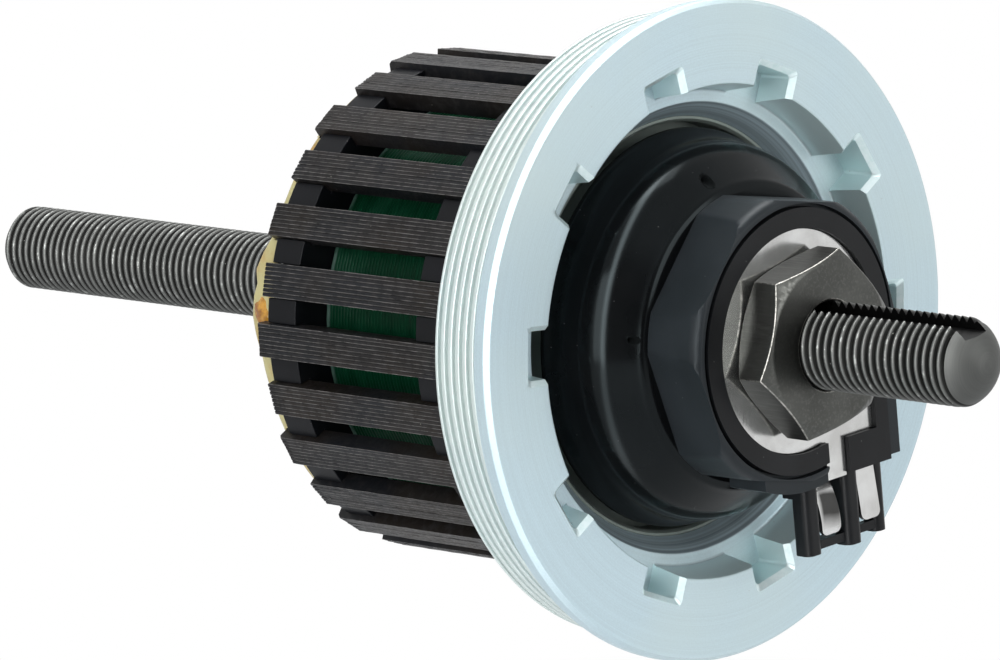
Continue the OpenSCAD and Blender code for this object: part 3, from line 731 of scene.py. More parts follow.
def new_object(name, data):
    """An object in the scene, for a mesh, a lamp or a camera."""
    made = bpy.data.objects.new(name, data)
    bpy.context.scene.collection.objects.link(made)
    return made


def piece_from(name, mesh, body, slot, *replaced):
    """Links a mesh as a piece that rides on a body, takes its finish from a slot and stands for
    nodes of the frame."""
    piece = new_object(name, mesh)
    mesh.materials.clear()
    mesh.materials.append(material_for(slot))
    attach(piece, body)
    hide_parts(*replaced)


def smooth(mesh, angle):
    """Shades a mesh smooth, but for edges that turn by more than an angle in degrees."""
    mesh.shade_smooth()
    mesh.set_sharp_from_angle(angle=math.radians(angle))


def mesh_from(work, name):
    """Turns an edited mesh into mesh data."""
    mesh = bpy.data.meshes.new(name)
    work.to_mesh(mesh)
    work.free()
    return mesh


def closed_mesh(work, name):
    """Turns an edited mesh into mesh data whose faces look outwards."""
    bmesh.ops.recalc_face_normals(work, faces=work.faces)
    return mesh_from(work, name)


def finished(work, name, angle=35.0):
    """Turns an edited mesh into mesh data with smooth shading."""
    mesh = closed_mesh(work, name)
    smooth(mesh, angle)
    return mesh


def bevelled(work, edges, width, segments):
    """Bevels edges by a width in metres and returns the new faces."""
    return bmesh.ops.bevel(
        work, geom=edges, offset=width, offset_type="OFFSET", segments=segments, profile=0.5,
        affect="EDGES", clamp_overlap=True, loop_slide=True, material=-1)["faces"]


def eased(work, width, segments):
    """Rounds the sharp edges and marks the new faces for wear. Edges that touch a very short one
    stay as they are, because they would hold back the rounding of all the others."""
    sharp, shortest = math.radians(30), 0.11 * MM
    worn = work.faces.layers.float.new("worn_edge")
    short = {v for e in work.edges if e.calc_length() < shortest for v in e.verts}
    edges = [
        e for e in work.edges if e.is_manifold and e.calc_face_angle(0) > sharp
        and e.verts[0] not in short and e.verts[1] not in short]
    for face in bevelled(work, edges, width, segments):
        face[worn] = 1.0


def settle(mesh, limit=46.0):
    """Keeps flat faces flat beside their rounded edges: a corner takes the mean normal of the
    faces about it that lean from its own face by less than a limit, the largest counting most."""
    own_share = 1e-12
    around = [[] for _ in mesh.vertices]
    facts = [(face.normal.copy(), face.area) for face in mesh.polygons]
    for face in mesh.polygons:
        for vertex in face.vertices:
            around[vertex].append(face.index)
    least = math.cos(math.radians(limit))
    normals = []
    for face in mesh.polygons:
        own = facts[face.index][0]
        for vertex in face.vertices:
            total = own * own_share
            for other in around[vertex]:
                normal, area = facts[other]
                if own.dot(normal) > least:
                    total += normal * area
            normals.append(total.normalized())
    mesh.normals_split_custom_set(normals)


def dressed(node, name, width, segments=2):
    """A copy of a CAD node in the node's place, with edges rounded by a width in millimetres and
    its slot's material."""
    same_point, same_plane = 0.002 * MM, math.radians(0.6)
    work = bmesh.new()
    work.from_mesh(frame["nodes"][node].data)
    bmesh.ops.remove_doubles(work, verts=work.verts, dist=same_point)
    bmesh.ops.dissolve_limit(work, angle_limit=same_plane, verts=work.verts, edges=work.edges)
    if width:
        eased(work, width * MM, segments)
    mesh = finished(work, name)
    settle(mesh)
    piece_from(name, mesh, body_of(node), slot_of(node), node)


def at_angle(angle, radius, along):
    """A point in millimetres about the axle, the angle turning from forward towards up."""
    a = math.radians(angle)
    return Vector((radius * math.cos(a), along, radius * math.sin(a))) * MM


def turn_to(angle):
    """The turn about the axle that takes forward to an angle."""
    return Matrix.Rotation(-math.radians(angle), 4, "Y")


def between(points, value):
    """The height of a line through points of (place, height) at a place."""
    for (low, first), (high, second) in zip(points, points[1:]):
        if value <= high:
            return first + (second - first) * (value - low) / (high - low)
    return points[-1][1]


def rounded(profile, steps=3):
    """A closed profile whose corners (radius, place, rounding) become arcs. A corner with the
    rounding 0 stays."""
    most_of_side = 0.45
    points = []
    count = len(profile)
    for i, (radius, along, reach) in enumerate(profile):
        here = Vector((radius, along))
        if not reach:
            points.append(tuple(here))
            continue
        before = Vector(profile[i - 1][:2]) - here
        after = Vector(profile[(i + 1) % count][:2]) - here
        setback = min(reach, before.length * most_of_side, after.length * most_of_side)
        start = here + before.normalized() * setback
        end = here + after.normalized() * setback
        for step in range(steps + 1):
            t = step / steps
            points.append(tuple(start * (1 - t) ** 2 + here * 2 * t * (1 - t) + end * t * t))
    return points


def arc(centre, radius, start, end, steps):
    """Profile points of an arc, without a rounding of their own."""
    points = []
    for i in range(steps + 1):
        a = math.radians(start + (end - start) * i / steps)
        points.append((centre[0] + radius * math.cos(a), centre[1] + radius * math.sin(a), 0))
    return points


def ring(work, radius, along, steps):
    """Vertices round the axle. On its line all of them are one vertex."""
    if not radius:
        return [work.verts.new(at_angle(0, radius, along))] * steps
    return [work.verts.new(at_angle(360 * i / steps, radius, along)) for i in range(steps)]


def bridge(work, first, second):
    """Faces between two closed rows of vertices, which are triangles where a row is one vertex."""
    count = len(first)
    faces = []
    for i in range(count):
        j = (i + 1) % count
        corners = list(dict.fromkeys((first[i], first[j], second[j], second[i])))
        if len(corners) > 2:
            faces.append(work.faces.new(corners))
    return faces


def lathe(work, profile, steps, closed=False):
    """Spins a profile of (radius, place) in millimetres about the axle."""
    rows = [ring(work, radius, along, steps) for radius, along in profile]
    for first, second in zip(rows, rows[1:] + (rows[:1] if closed else [])):
        bridge(work, first, second)


def weld(work):
    bmesh.ops.remove_doubles(work, verts=work.verts, dist=SAME_POINT)


def box_mesh(name, low, high, turn):
    """A box between two corners, turned about the middle of the frame."""
    work = bmesh.new()
    bmesh.ops.create_cube(work, size=1.0)
    for vert in work.verts:
        vert.co = Vector(
            (low[i] + high[i]) / 2 + vert.co[i] * (high[i] - low[i]) for i in range(3))
    bmesh.ops.transform(work, matrix=turn, verts=work.verts)
    return mesh_from(work, name)


def cut_away(mesh, cutter):
    """The mesh with the cutter's space taken out of it."""
    body, tool = new_object("cut body", mesh), new_object("cutter", cutter)
    modifier = body.modifiers.new("Cut", "BOOLEAN")
    modifier.operation = "DIFFERENCE"
    modifier.solver = "EXACT"
    modifier.object = tool
    bpy.context.view_layer.update()
    graph = bpy.context.evaluated_depsgraph_get()
    result = bpy.data.meshes.new_from_object(body.evaluated_get(graph))
    for thing in (body, tool):
        bpy.data.objects.remove(thing)
    return result


# Axle


def thread_rows(radius, depth):
    """One pitch of the thread: share of the pitch, and radius. Its crests are a little rounded."""
    soft, flank, root = radius - 0.05 * depth, radius - 0.88 * depth, radius - depth
    return [
        (0.00, soft), (0.07, radius), (0.16, radius), (0.23, soft),
        (0.53, flank), (0.58, root), (0.65, root), (0.70, flank)]


def threaded(work, radius, depth, pitch, start, end, steps, limit):
    """A right-handed thread between two places, held under a limit given by place."""
    rows = thread_rows(radius, depth)
    count = len(rows)
    turns = int(math.ceil((end - start) / pitch)) + 1
    cache = {}

    def point(step, row):
        row += (step // steps) * count
        step %= steps
        if (step, row) not in cache:
            share, reach = rows[row % count]
            place = start - pitch + (row // count + share + step / steps) * pitch
            place = min(max(place, start), end)
            cache[step, row] = work.verts.new(
                at_angle(-360 * step / steps, min(reach, limit(place)), place))
        return cache[step, row]

    for step in range(steps):
        for row in range((turns + 1) * count):
            work.faces.new([
                point(step, row), point(step + 1, row), point(step + 1, row + 1),
                point(step, row + 1)])
    weld(work)
    bmesh.ops.dissolve_degenerate(work, edges=work.edges, dist=SAME_POINT)


class DynamoMakeAxle(bpy.types.Operator):
    """Make the threaded axle with its lead groove"""

    bl_idname = "dynamo.make_axle"
    bl_label = "Axle"

    def execute(self, context):
        sizes = context.scene.dynamo_axle
        radius, depth = sizes.radius / MM, sizes.thread_depth / MM
        pitch, steps = sizes.pitch / MM, 72
        rod = radius - depth
        tip, dome_radius, dome_end, dome_rings = -70.0, 4.94, -67.75, 12
        plain_start, plain_end, thread_end, bare_tip = -44.6, 8.2, 69.5, 70.0
        run_out, run_out_slope, sharp = 69.55, 0.9, 50

        def under_dome(place):
            inside = dome_radius * dome_radius - (place - tip - dome_radius) ** 2
            return math.sqrt(max(inside, 0.0)) if place < tip + dome_radius else 2 * radius

        def under_run_out(place):
            return min(radius, rod + max(0.0, run_out - place) * run_out_slope)

        work = bmesh.new()
        threaded(work, radius, depth, pitch, dome_end, plain_start, steps, under_dome)
        threaded(work, radius, depth, pitch, plain_end, thread_end, steps, under_run_out)
        dome = [(0.0, tip)]
        for i in range(1, dome_rings + 1):
            place = tip + (dome_end - tip) * (i / dome_rings) ** 1.6
            dome.append((min(under_dome(place), radius), place))
        lathe(work, dome, steps)
        lathe(work, [(rod, plain_start), (rod, plain_end)], steps)
        # The bare end has a small chamfer and a shallow hollow
        lathe(work, [
            (rod, thread_end), (rod - 0.02, 69.6), (rod - 0.22, 69.86), (rod - 0.6, bare_tip),
            (2.2, 69.97), (0, 69.93)], steps)
        weld(work)
        mesh = self.grooved(finished(work, "axle rod", sharp), sizes, dome_end)
        smooth(mesh, sharp)
        piece_from("axle_rod", mesh, AXLE_UNIT, "axle_steel", "axle")
        return {"FINISHED"}

    def grooved(self, mesh, sizes, dome_end):
        """Cuts the lead groove, and marks its oily walls and the axle's turned ends."""
        floor, wall_top, outside, slack = 2.9, 4.3, 9.0, 0.1
        angle, start, end, end_facet = 102.0, -72.0, -46.0, 69.9
        oil_amount, upright = 0.9, 0.95
        half = sizes.groove_width / MM / 2
        mesh = cut_away(mesh, box_mesh(
            "groove cutter", Vector((floor, start, -half)) * MM,
            Vector((outside, end, half)) * MM, turn_to(angle)))
        oily = mesh.attributes.new("oily", "FLOAT", "FACE")
        ends = mesh.attributes.new("turned_tip", "FLOAT", "FACE")
        out = at_angle(angle, 1.0, 0.0) / MM
        side = Vector((0, 1, 0)).cross(out)
        for face in mesh.polygons:
            height, across = face.center.dot(out) / MM, face.center.dot(side) / MM
            inside = (abs(across) < half + slack and floor - slack < height < wall_top
                      and face.center.y < 0)
            wall = abs(face.normal.dot(side)) > upright or face.normal.dot(out) > upright
            oily.data[face.index].value = oil_amount if inside and wall else 0.0
            beyond = face.center.y < dome_end * MM or face.center.y > end_facet * MM
            ends.data[face.index].value = 1.0 if beyond and not wall else 0.0
        return mesh


# Stator


# Radii and places along the axle in millimetres. free_low says that the finger's free end is its
# low one
ClawShape = namedtuple(
    "ClawShape", "root free_low root_low root_high finger_low finger_high inner outer")


def sheet_outline(root, root_low, root_high, finger_low, finger_high, inner, outer, waves):
    """Outline of one steel sheet of a claw, with a slightly wavy outer edge and the outer corner
    at its leg cut off."""
    corner = 0.35
    steps = len(waves)
    leg_on_top = root_high >= finger_high - 0.01
    top = finger_high - corner if leg_on_top else finger_high
    drop = finger_low + corner - finger_high
    wavy = [(outer + waves[i], top + drop * i / steps) for i in range(1, steps)]
    points = [(root, root_low), (root, root_high)]
    if leg_on_top:
        return points + [
            (outer - corner, finger_high), (outer, top), *wavy, (outer, finger_low),
            (inner, finger_low), (inner, root_low)]
    return points + [
        (inner, root_high), (inner, finger_high), (outer, finger_high), *wavy,
        (outer, finger_low + corner), (outer - corner, finger_low)]


def claw_sheet(work, layers, outline, low, high, lowest, draw):
    """Adds one sheet between two places across the stack, with a burr along its rims, and returns
    its vertices. Only the lowest sheet's burr shows on both sides."""
    worn, tone = layers
    burr_width = 0.06 * MM
    sides = [
        [work.verts.new(Vector((r, y, offset)) * MM) for r, y in outline]
        for offset in (low, high)]
    faces = [work.faces.new(sides[0]), work.faces.new(list(reversed(sides[1])))]
    count = len(outline)
    for i in range(count):
        j = (i + 1) % count
        faces.append(work.faces.new([sides[0][j], sides[0][i], sides[1][i], sides[1][j]]))
    rims = [e for f in faces[:2] for e in f.edges]
    sheet_tone = draw.uniform(0.45, 1.0)
    for face in faces:
        face[tone] = sheet_tone
    burrs = bevelled(work, rims, burr_width, 1)
    for face in burrs:
        shows = lowest or face.calc_center_median().z > (low + high) / 2 * MM
        face[worn] = draw.uniform(0.4, 1.0) if shows else 0.0
        face[tone] = sheet_tone if shows else 0.0
    verts = {v for f in faces if f.is_valid for v in f.verts}
    return list(verts | {v for f in burrs for v in f.verts})


def claw_stacks(name, node, phase, shape, seed):
    """The stacks of steel sheets of one set of claws, in place of a node."""
    sizes = bpy.context.scene.dynamo_stator
    width = 3.5
    thick, gap = width / sizes.sheets, sizes.sheet_gap / MM
    wave_points = 30
    draw = random.Random(seed)
    work = bmesh.new()
    layers = [work.faces.layers.float.new(key) for key in ("worn_edge", "sheet_tone")]
    for stack in range(CLAWS):
        shift = draw.uniform(-0.012, 0.012)
        for sheet in range(sizes.sheets):
            reach = draw.uniform(-0.05, 0.0)
            slip = draw.uniform(-0.02, 0.0) if sheet else 0.0
            waves = [draw.uniform(-0.03, 0.0) for _ in range(wave_points)]
            finger_low = shape.finger_low - slip * shape.free_low
            finger_high = shape.finger_high + slip * (1 - shape.free_low)
            outline = sheet_outline(
                shape.root, shape.root_low, shape.root_high, finger_low, finger_high,
                shape.inner, shape.outer + reach, waves)
            middle = -width / 2 + (sheet + 0.5) * thick
            half = (thick - gap) / 2 * draw.uniform(0.92, 1.0)
            verts = claw_sheet(
                work, layers, [(r, y + shift) for r, y in outline], middle - half, middle + half,
                not sheet, draw)
            turn = turn_to(phase + stack * 360 / CLAWS)
            bmesh.ops.transform(work, matrix=turn, verts=verts)
    piece_from(name, finished(work, name, angle=25), AXLE_UNIT, "pole_steel", node)


class DynamoMakePoles(bpy.types.Operator):
    """Make the two sets of laminated claw poles"""

    bl_idname = "dynamo.make_poles"
    bl_label = "Pole stacks"

    def execute(self, context):
        bare_end = ClawShape(
            root=8.6, free_low=True, root_low=3.2, root_high=6.7, finger_low=-20.3,
            finger_high=6.7, inner=24.2, outer=26.2)
        connector_end = ClawShape(
            root=8.6, free_low=False, root_low=-21.2, root_high=-17.7, finger_low=-21.2,
            finger_high=5.8, inner=24.2, outer=26.2)
        claw_stacks("pole_stacks_bare_end", "poles_bare_end", FIRST_CLAW, bare_end, 11)
        claw_stacks("pole_stacks_connector_end", "poles_connector_end",
                    FIRST_CLAW + 180 / CLAWS, connector_end, 12)
        return {"FINISHED"}


def squared(value):
    """Swells a circle's coordinate towards a square's, as wires pressed together are."""
    return math.copysign(abs(value) ** 0.30, value)


class DynamoMakeCoil(bpy.types.Operator):
    """Wind the outer layer of the coil as one wire and dress its inner layers"""

    bl_idname = "dynamo.make_coil"
    bl_label = "Coil"

    def execute(self, context):
        sizes = context.scene.dynamo_stator
        wire, turns = sizes.wire / MM, sizes.turns
        start, end, outer, sink = -15.85, 1.45, 21.42, 0.02
        rings, sides = 72, 12
        middle = outer - wire / 2
        draw = random.Random(5)
        wobble = [draw.uniform(-0.03, 0.03) for _ in range(turns + 2)]
        work = bmesh.new()
        rows = []
        total = rings * turns
        for i in range(total + 1):
            share = i / rings
            turn = int(share)
            shift = wobble[turn] + (wobble[turn + 1] - wobble[turn]) * (share - turn)
            along = start + wire / 2 + (end - start - wire) * i / total
            row = []
            for j in range(sides):
                side = FULL_TURN * j / sides
                across, up = math.sin(side), math.cos(side)
                row.append(work.verts.new(at_angle(
                    360 * i / rings, middle + shift * 0.5 - sink + wire * 0.5 * squared(up),
                    along + wire * 0.5 * squared(across))))
            rows.append(row)
        for first, second in zip(rows, rows[1:]):
            bridge(work, first, second)
        work.faces.new(rows[0])
        work.faces.new(list(reversed(rows[-1])))
        mesh = finished(work, "coil wire", angle=80)
        piece_from("coil_wire", mesh, AXLE_UNIT, "green_enamel", "coil_winding")
        dressed("coil_core", "coil_inner_layers", width=0.3)
        return {"FINISHED"}


class DynamoMakeBobbin(bpy.types.Operator):
    """Dress the bobbin between the poles"""

    bl_idname = "dynamo.make_bobbin"
    bl_label = "Bobbin"

    def execute(self, context):
        dressed("bobbin", "coil_bobbin", width=0.12)
        return {"FINISHED"}


class DynamoMakeFilm(bpy.types.Operator):
    """Make the amber film and the drop of resin at the bare end"""

    bl_idname = "dynamo.make_film"
    bl_label = "Film and resin"

    def execute(self, context):
        self.make_film()
        self.make_drop()
        return {"FINISHED"}

    def make_film(self):
        """A thin ring with a creased edge, which stands on the legs of the claws."""
        steps = 780
        # (angle, place along the axle) of the creased edge
        edge = [
            (0, 7.1), (120, 6.9), (150, 6.95), (160, 7.13), (165, 8.1), (168.6, 8.6), (172, 8.15),
            (175, 8.6), (180, 8.65), (184, 8.3), (190, 7.6), (200, 7.2), (360, 7.1)]
        on_leg, beside_leg, half_leg = 6.76, 5.56, 4.6
        work = bmesh.new()
        rows = []
        for i in range(steps):
            angle = 360 * i / steps
            a = math.radians(angle)
            where = Vector((math.cos(a), math.sin(a), 0))
            swell = noise.noise(where * 5.0 + Vector((7, 0, 0))) * 0.22
            near = min(
                abs((angle - FIRST_CLAW - k * 360 / CLAWS + 180) % 360 - 180)
                for k in range(CLAWS))
            foot = on_leg if near < half_leg else beside_leg
            top = between(edge, angle) + noise.noise(where * 9.0) * 0.12
            # (radius, place) from the foot's outside over the top to the foot's inside
            profile = [
                (24.80, foot), (24.86 + swell * 0.2, foot + 0.2), (24.84 + swell * 0.3, top - 0.3),
                (24.74 + swell * 0.4, top - 0.06), (24.6 + swell * 0.5, top),
                (24.45 + swell * 0.5, top - 0.06), (24.35 + swell * 0.4, top - 0.3),
                (24.35, foot + 0.15), (24.4, foot)]
            rows.append([work.verts.new(at_angle(angle, r, y)) for r, y in profile])
        for first, second in zip(rows, rows[1:] + rows[:1]):
            bridge(work, first, second)
        mesh = finished(work, "film", angle=50)
        piece_from("amber_film", mesh, AXLE_UNIT, "amber_film", "end_insulator")

    def make_drop(self):
        """An uneven drop on the film's edge, flatter towards the claws."""
        angle, radius, along = 178.6, 24.35, 7.1
        half_depth, half_length, half_width, flattened = 0.75, 1.6, 1.75, 0.7
        work = bmesh.new()
        bmesh.ops.create_icosphere(work, subdivisions=4, radius=1.0)
        centre = at_angle(angle, radius, along)
        out = at_angle(angle, 1.0, 0.0) / MM
        axis = Vector((0, 1, 0))
        side = axis.cross(out).normalized()
        for vert in work.verts:
            p = vert.co.copy()
            bulge = 1 + 0.16 * noise.noise(p * 1.7) + 0.05 * noise.noise(p * 5)
            local = Vector((p.x * half_depth, p.y * half_length, p.z * half_width)) * bulge
            if local.y < 0:
                local.y *= flattened
            vert.co = centre + (out * local.x + axis * local.y + side * local.z) * MM
        mesh = finished(work, "resin", angle=60)
        piece_from("resin_drop", mesh, AXLE_UNIT, "amber_resin", "resin_bead")


# Clamping pieces and connector


class DynamoDressClamping(bpy.types.Operator):
    """Dress the nuts, the washer and the sleeves that clamp the unit on its axle"""

    bl_idname = "dynamo.dress_clamping"
    bl_label = "Nuts and sleeves"

    def execute(self, context):
        dressed("locknut", "outer_locknut", width=0.16, segments=3)
        dressed("cone_locknut", "inner_locknut", width=0.16)
        dressed("stator_nut", "clamping_nut", width=0.16)
        dressed("stator_washer", "clamping_washer", width=0.12)
        dressed("spacer_sleeve", "slotted_spacer", width=0.10)
        dressed("stator_core", "core_sleeve", width=0.10)
        return {"FINISHED"}


class DynamoDressConnector(bpy.types.Operator):
    """Dress the connector's moulding, collar and contacts"""

    bl_idname = "dynamo.dress_connector"
    bl_label = "Connector"

    def execute(self, context):
        dressed("connector_collar", "collar_cap", width=0.16, segments=3)
        dressed("connector_body", "connector_moulding", width=0.14)
        dressed("terminal_plate", "ground_contact", width=0.06)
        dressed("live_terminal", "live_contact", width=0.06)
        return {"FINISHED"}


# Dust cover, flange and bearing


def dimple(work, floor, half):
    """Presses a round pit into the front surface, down to the place of its floor, and marks it."""
    patch, mark_reach, fall_reach = half + 0.9 * MM, half * 1.4, half * 1.25

    def away(point):
        return math.hypot(point.x - floor.x, point.z - floor.z)

    def outside(point):
        return point.y < floor.y - 0.2 * MM

    near = [f for f in work.faces if away(f.calc_center_median()) < patch
            and outside(f.calc_center_median())]
    edges = {e for f in near for e in f.edges}
    bmesh.ops.subdivide_edges(work, edges=list(edges), cuts=8, use_grid_fill=True)
    pit = work.faces.layers.float.get("pit") or work.faces.layers.float.new("pit")
    for item in work.faces:
        middle = item.calc_center_median()
        if away(middle) < mark_reach and outside(middle):
            item[pit] = 1.0
    for vert in work.verts:
        share = away(vert.co) / fall_reach
        if share < 1 and outside(vert.co):
            vert.co.y += (floor.y - vert.co.y) * (1 + math.cos(math.pi * share)) / 2


class DynamoDressCover(bpy.types.Operator):
    """Make the dust cover with its soft shoulder and two pits, and dress its seal"""

    bl_idname = "dynamo.dress_cover"
    bl_label = "Dust cover"

    def execute(self, context):
        hole, drum, wall = 7.0, 19.4, 1.2
        front, back, inside = -38.2, -28.3, -36.9
        shoulder, soft = (14.9, -32.34), 4.5
        # (angle, radius, half width) of each pit
        pits, pit_floor = ((107.8, 16.76, 0.52), (176.6, 16.32, 0.36)), -35.8
        # (radius, place, rounding) from the hole over the front and the shoulder to the skirt,
        # and back inside
        profile = [
            (hole, front, 0.2), (15.0, front, 0.2), (15.7, front + 0.25, 0.2), (16.1, -37.5, 0.3),
            *arc(shoulder, soft, 315, 360, 16),
            (drum, -31.2, 0.5), (drum + 0.25, -30.2, 0.5), (drum + 0.65, -29.4, 0.3),
            (drum + 1.0, -28.9, 0.15), (drum + 1.0, back, 0.15), (drum + 0.1, back, 0.15),
            (drum - wall, -30.4, 0),
            *arc(shoulder, soft - wall, 360, 315, 8),
            (15.0, inside, 0), (hole, inside, 0.2)]
        work = bmesh.new()
        lathe(work, rounded(profile), steps=200, closed=True)
        for angle, radius, half in pits:
            dimple(work, at_angle(angle, radius, pit_floor), half * MM)
        mesh = closed_mesh(work, "cover drum")
        settle(mesh, limit=80)
        piece_from("black_dust_cover", mesh, AXLE_UNIT, "cover_black", "dust_cover")
        dressed("dust_seal", "cover_seal", width=0.10)
        return {"FINISHED"}


def crests(crest, root, start, pitch, turns):
    """Profile corners of soft thread ridges: (radius, place, rounding)."""
    points = []
    for i in range(turns + 1):
        place = start + i * pitch
        points += [
            (crest, place - 0.25 * pitch, 0.12), (crest, place + 0.25 * pitch, 0.12),
            (root, place + 0.45 * pitch, 0.06), (root, place + 0.55 * pitch, 0.06)]
    return points


def notch_outline(inner, x, z, corner, steps):
    """A notch seen along the axle: open towards it, with two rounded outer corners."""
    outline = [(inner, -z)]
    for side, start in ((-1, -math.pi / 2), (1, 0.0)):
        for i in range(steps + 1):
            a = math.radians(90 * i / steps) + start
            outline.append((
                x - corner + corner * math.cos(a), side * (z - corner) + corner * math.sin(a)))
    return outline + [(inner, z)]


def notch_cutter():
    """The tool notches: milled walls that lean a little, and a bevel around each mouth."""
    floor, mouth, bevel, over = -29.7, -34.0, 0.55, 0.4
    half, inner, outer, corner, corner_steps = 2.35, 22.6, 27.25, 0.45, 4
    notches, bevel_wear = 10, 0.45
    rise = (floor - mouth - bevel) * math.tan(math.radians(2))
    levels = [
        (floor, 0.0), (mouth + bevel, rise), (mouth, rise + bevel),
        (mouth - over, rise + bevel + over)]
    work = bmesh.new()
    milled = work.faces.layers.float.new("milled")
    worn = work.faces.layers.float.new("worn_edge")
    for k in range(notches):
        turn = turn_to(360 / notches * k)
        rows = [
            [work.verts.new(turn @ (Vector((x, place, z)) * MM)) for x, z in notch_outline(
                inner, outer + grown, half + grown, corner, corner_steps)]
            for place, grown in levels]
        for level, (first, second) in enumerate(zip(rows, rows[1:])):
            for face in bridge(work, first, second):
                # Milled walls lose their turning rings and take the zinc's lighter, painted-light
                # colour
                face[milled] = 1.0
                face[worn] = bevel_wear if level else 0.0
        work.faces.new(rows[0])
        work.faces.new(list(reversed(rows[-1])))
    return closed_mesh(work, "notch cutter")


class DynamoDressFlange(bpy.types.Operator):
    """Make the notched flange with its shell thread, and dress the bearing cup in it"""

    bl_idname = "dynamo.dress_flange"
    bl_label = "Flange"

    def execute(self, context):
        face, rim, shell, root = -34.0, 33.75, 32.0, 31.39
        back, web, seat, sleeve, bore_radius = -24.7, -26.7, -29.7, 24.6, 21.5
        # (radius, place, rounding) from the face over the rim and the shell thread to the back,
        # round the sleeve and up the bore to the cup's seat and the recess wall
        profile = [
            (25.2, face, 0.16), (25.8, face, 0), (28.5, face, 0), (32.8, face, 0),
            (rim - 0.42, face, 0.06), (rim, face + 0.6, 0.12), (rim, face + 1.8, 0.1),
            (rim - 0.3, face + 2.1, 0.1), (root, face + 2.1, 0.12),
            *crests(shell, root, start=face + 2.95, pitch=1.0, turns=5),
            (shell, back - 0.65, 0.1), (shell, back - 0.35, 0.12), (root, back, 0.1),
            (root - 2.1, back, 0.2), (root - 2.1, web, 0.2), (sleeve, web, 0.2),
            (sleeve, -22, 0.2), (bore_radius, -22, 0.2), (bore_radius, -27.8, 0.1),
            (23.1, seat, 0.1), (24.4, seat, 0.35)]
        work = bmesh.new()
        # The notch cutter brings worn_edge values for its bevels, so the ring has that layer too
        milled, _, thread, bore = [
            work.faces.layers.float.new(key) for key in ("milled", "worn_edge", "thread", "bore")]
        lathe(work, rounded(profile), steps=240, closed=True)
        for item in work.faces:
            middle = item.calc_center_median() / MM
            radius, place = math.hypot(middle.x, middle.z), middle.y
            # The shell thread takes the zinc's paler, painted-light colour
            item[thread] = 1.0 if radius > root - 0.1 and place > face + 2.2 else 0.0
            # The bore takes the zinc's darker colour, for oil and for painted shade
            item[bore] = 1.0 if radius < 23.15 and place > seat + 0.02 else 0.0
            # The recess wall takes most of the milled walls' painted light and loses most of its
            # turning rings
            recess = 24.35 < radius < 25.3 and face < place < seat + 0.1
            item[milled] = 0.8 if recess else 0.0
        mesh = cut_away(closed_mesh(work, "flange ring"), notch_cutter())
        settle(mesh, limit=36)
        piece_from("notched_flange", mesh, FLANGE, "zinc_plate", "flange_ring")
        dressed("bearing_cup", "pressed_cup", width=0.05)
        return {"FINISHED"}


class DynamoDressBearing(bpy.types.Operator):
    """Dress the cone, the balls and their retainer"""

    bl_idname = "dynamo.dress_bearing"
    bl_label = "Bearing"

    def execute(self, context):
        dressed("bearing_cone", "ground_cone", width=0.10)
        dressed("ball_retainer", "brass_retainer", width=0.06)
        balls = frame["nodes"]["bearing_balls"]
        balls.data.materials.clear()
        balls.data.materials.append(material_for("ball_steel"))
        return {"FINISHED"}


class DynamoDressLeads(bpy.types.Operator):
    """Dress the two leads of the coil"""

    bl_idname = "dynamo.dress_leads"
    bl_label = "Leads"

    def execute(self, context):
        dressed("live_lead", "sheathed_lead", width=0.0)
        dressed("ground_lead", "copper_lead", width=0.06)
        return {"FINISHED"}


# Stage


WHITE = (1, 1, 1, 1)
DARK_SIDE = (-0.62, -0.79, 0.0)
ARCH_SIDE = (-0.545, 0.839, 0.0)
ARCH_TOP = (-0.481, -0.313, 0.819)
STRIP_AHEAD = (-0.839, -0.545, 0.0)


def mirrored(tree, rays):
    """1 for rays that a surface mirrors or lets through."""
    return maths(
        tree, "MAXIMUM", rays.outputs["Is Glossy Ray"], rays.outputs["Is Transmission Ray"])


def band(tree, ray, inner, outer):
    """1 in the arch's upright plane, and 0 beyond its soft sides."""
    aside = maths(tree, "ABSOLUTE", facing(tree, ray, ARCH_SIDE))
    return spread(tree, aside, inner, outer, 1.0, 0.0)


def make_world(studio):
    """An even room. Rays that see or mirror it find white; a mirrored ray also finds a dark part
    behind the camera and a bright arch overhead."""
    soft_colour, soft_level = (0.93, 0.96, 1.0, 1), 0.45
    world = bpy.data.worlds.new("Studio")
    world.use_nodes = True
    tree = world.node_tree
    tree.nodes.clear()
    rays = tree.nodes.new("ShaderNodeLightPath")
    seen = maths(tree, "MAXIMUM", rays.outputs["Is Camera Ray"], mirrored(tree, rays))
    ray = tree.nodes.new("ShaderNodeTexCoord").outputs["Generated"]
    shade = spread(tree, facing(tree, ray, DARK_SIDE), 0.70, 0.93, 1.0, studio.dark_front)
    rise = spread(tree, facing(tree, ray, ARCH_TOP), 0.0, 0.20, 0.0, studio.arch_level)
    arch = multiplied(tree, band(tree, ray, 0.05, 0.13), rise)
    level = maths(tree, "MAXIMUM", rays.outputs["Is Camera Ray"], added(tree, shade, arch))
    plain = add_node(tree, "ShaderNodeBackground", Color=WHITE, Strength=level)
    soft = add_node(tree, "ShaderNodeBackground", Color=soft_colour, Strength=soft_level)
    mixed = add_node(
        tree, "ShaderNodeMixShader", _0=seen, _1=soft.outputs[0], _2=plain.outputs[0])
    feed(tree, tree.nodes.new("ShaderNodeOutputWorld"), Surface=mixed.outputs[0])
    return world


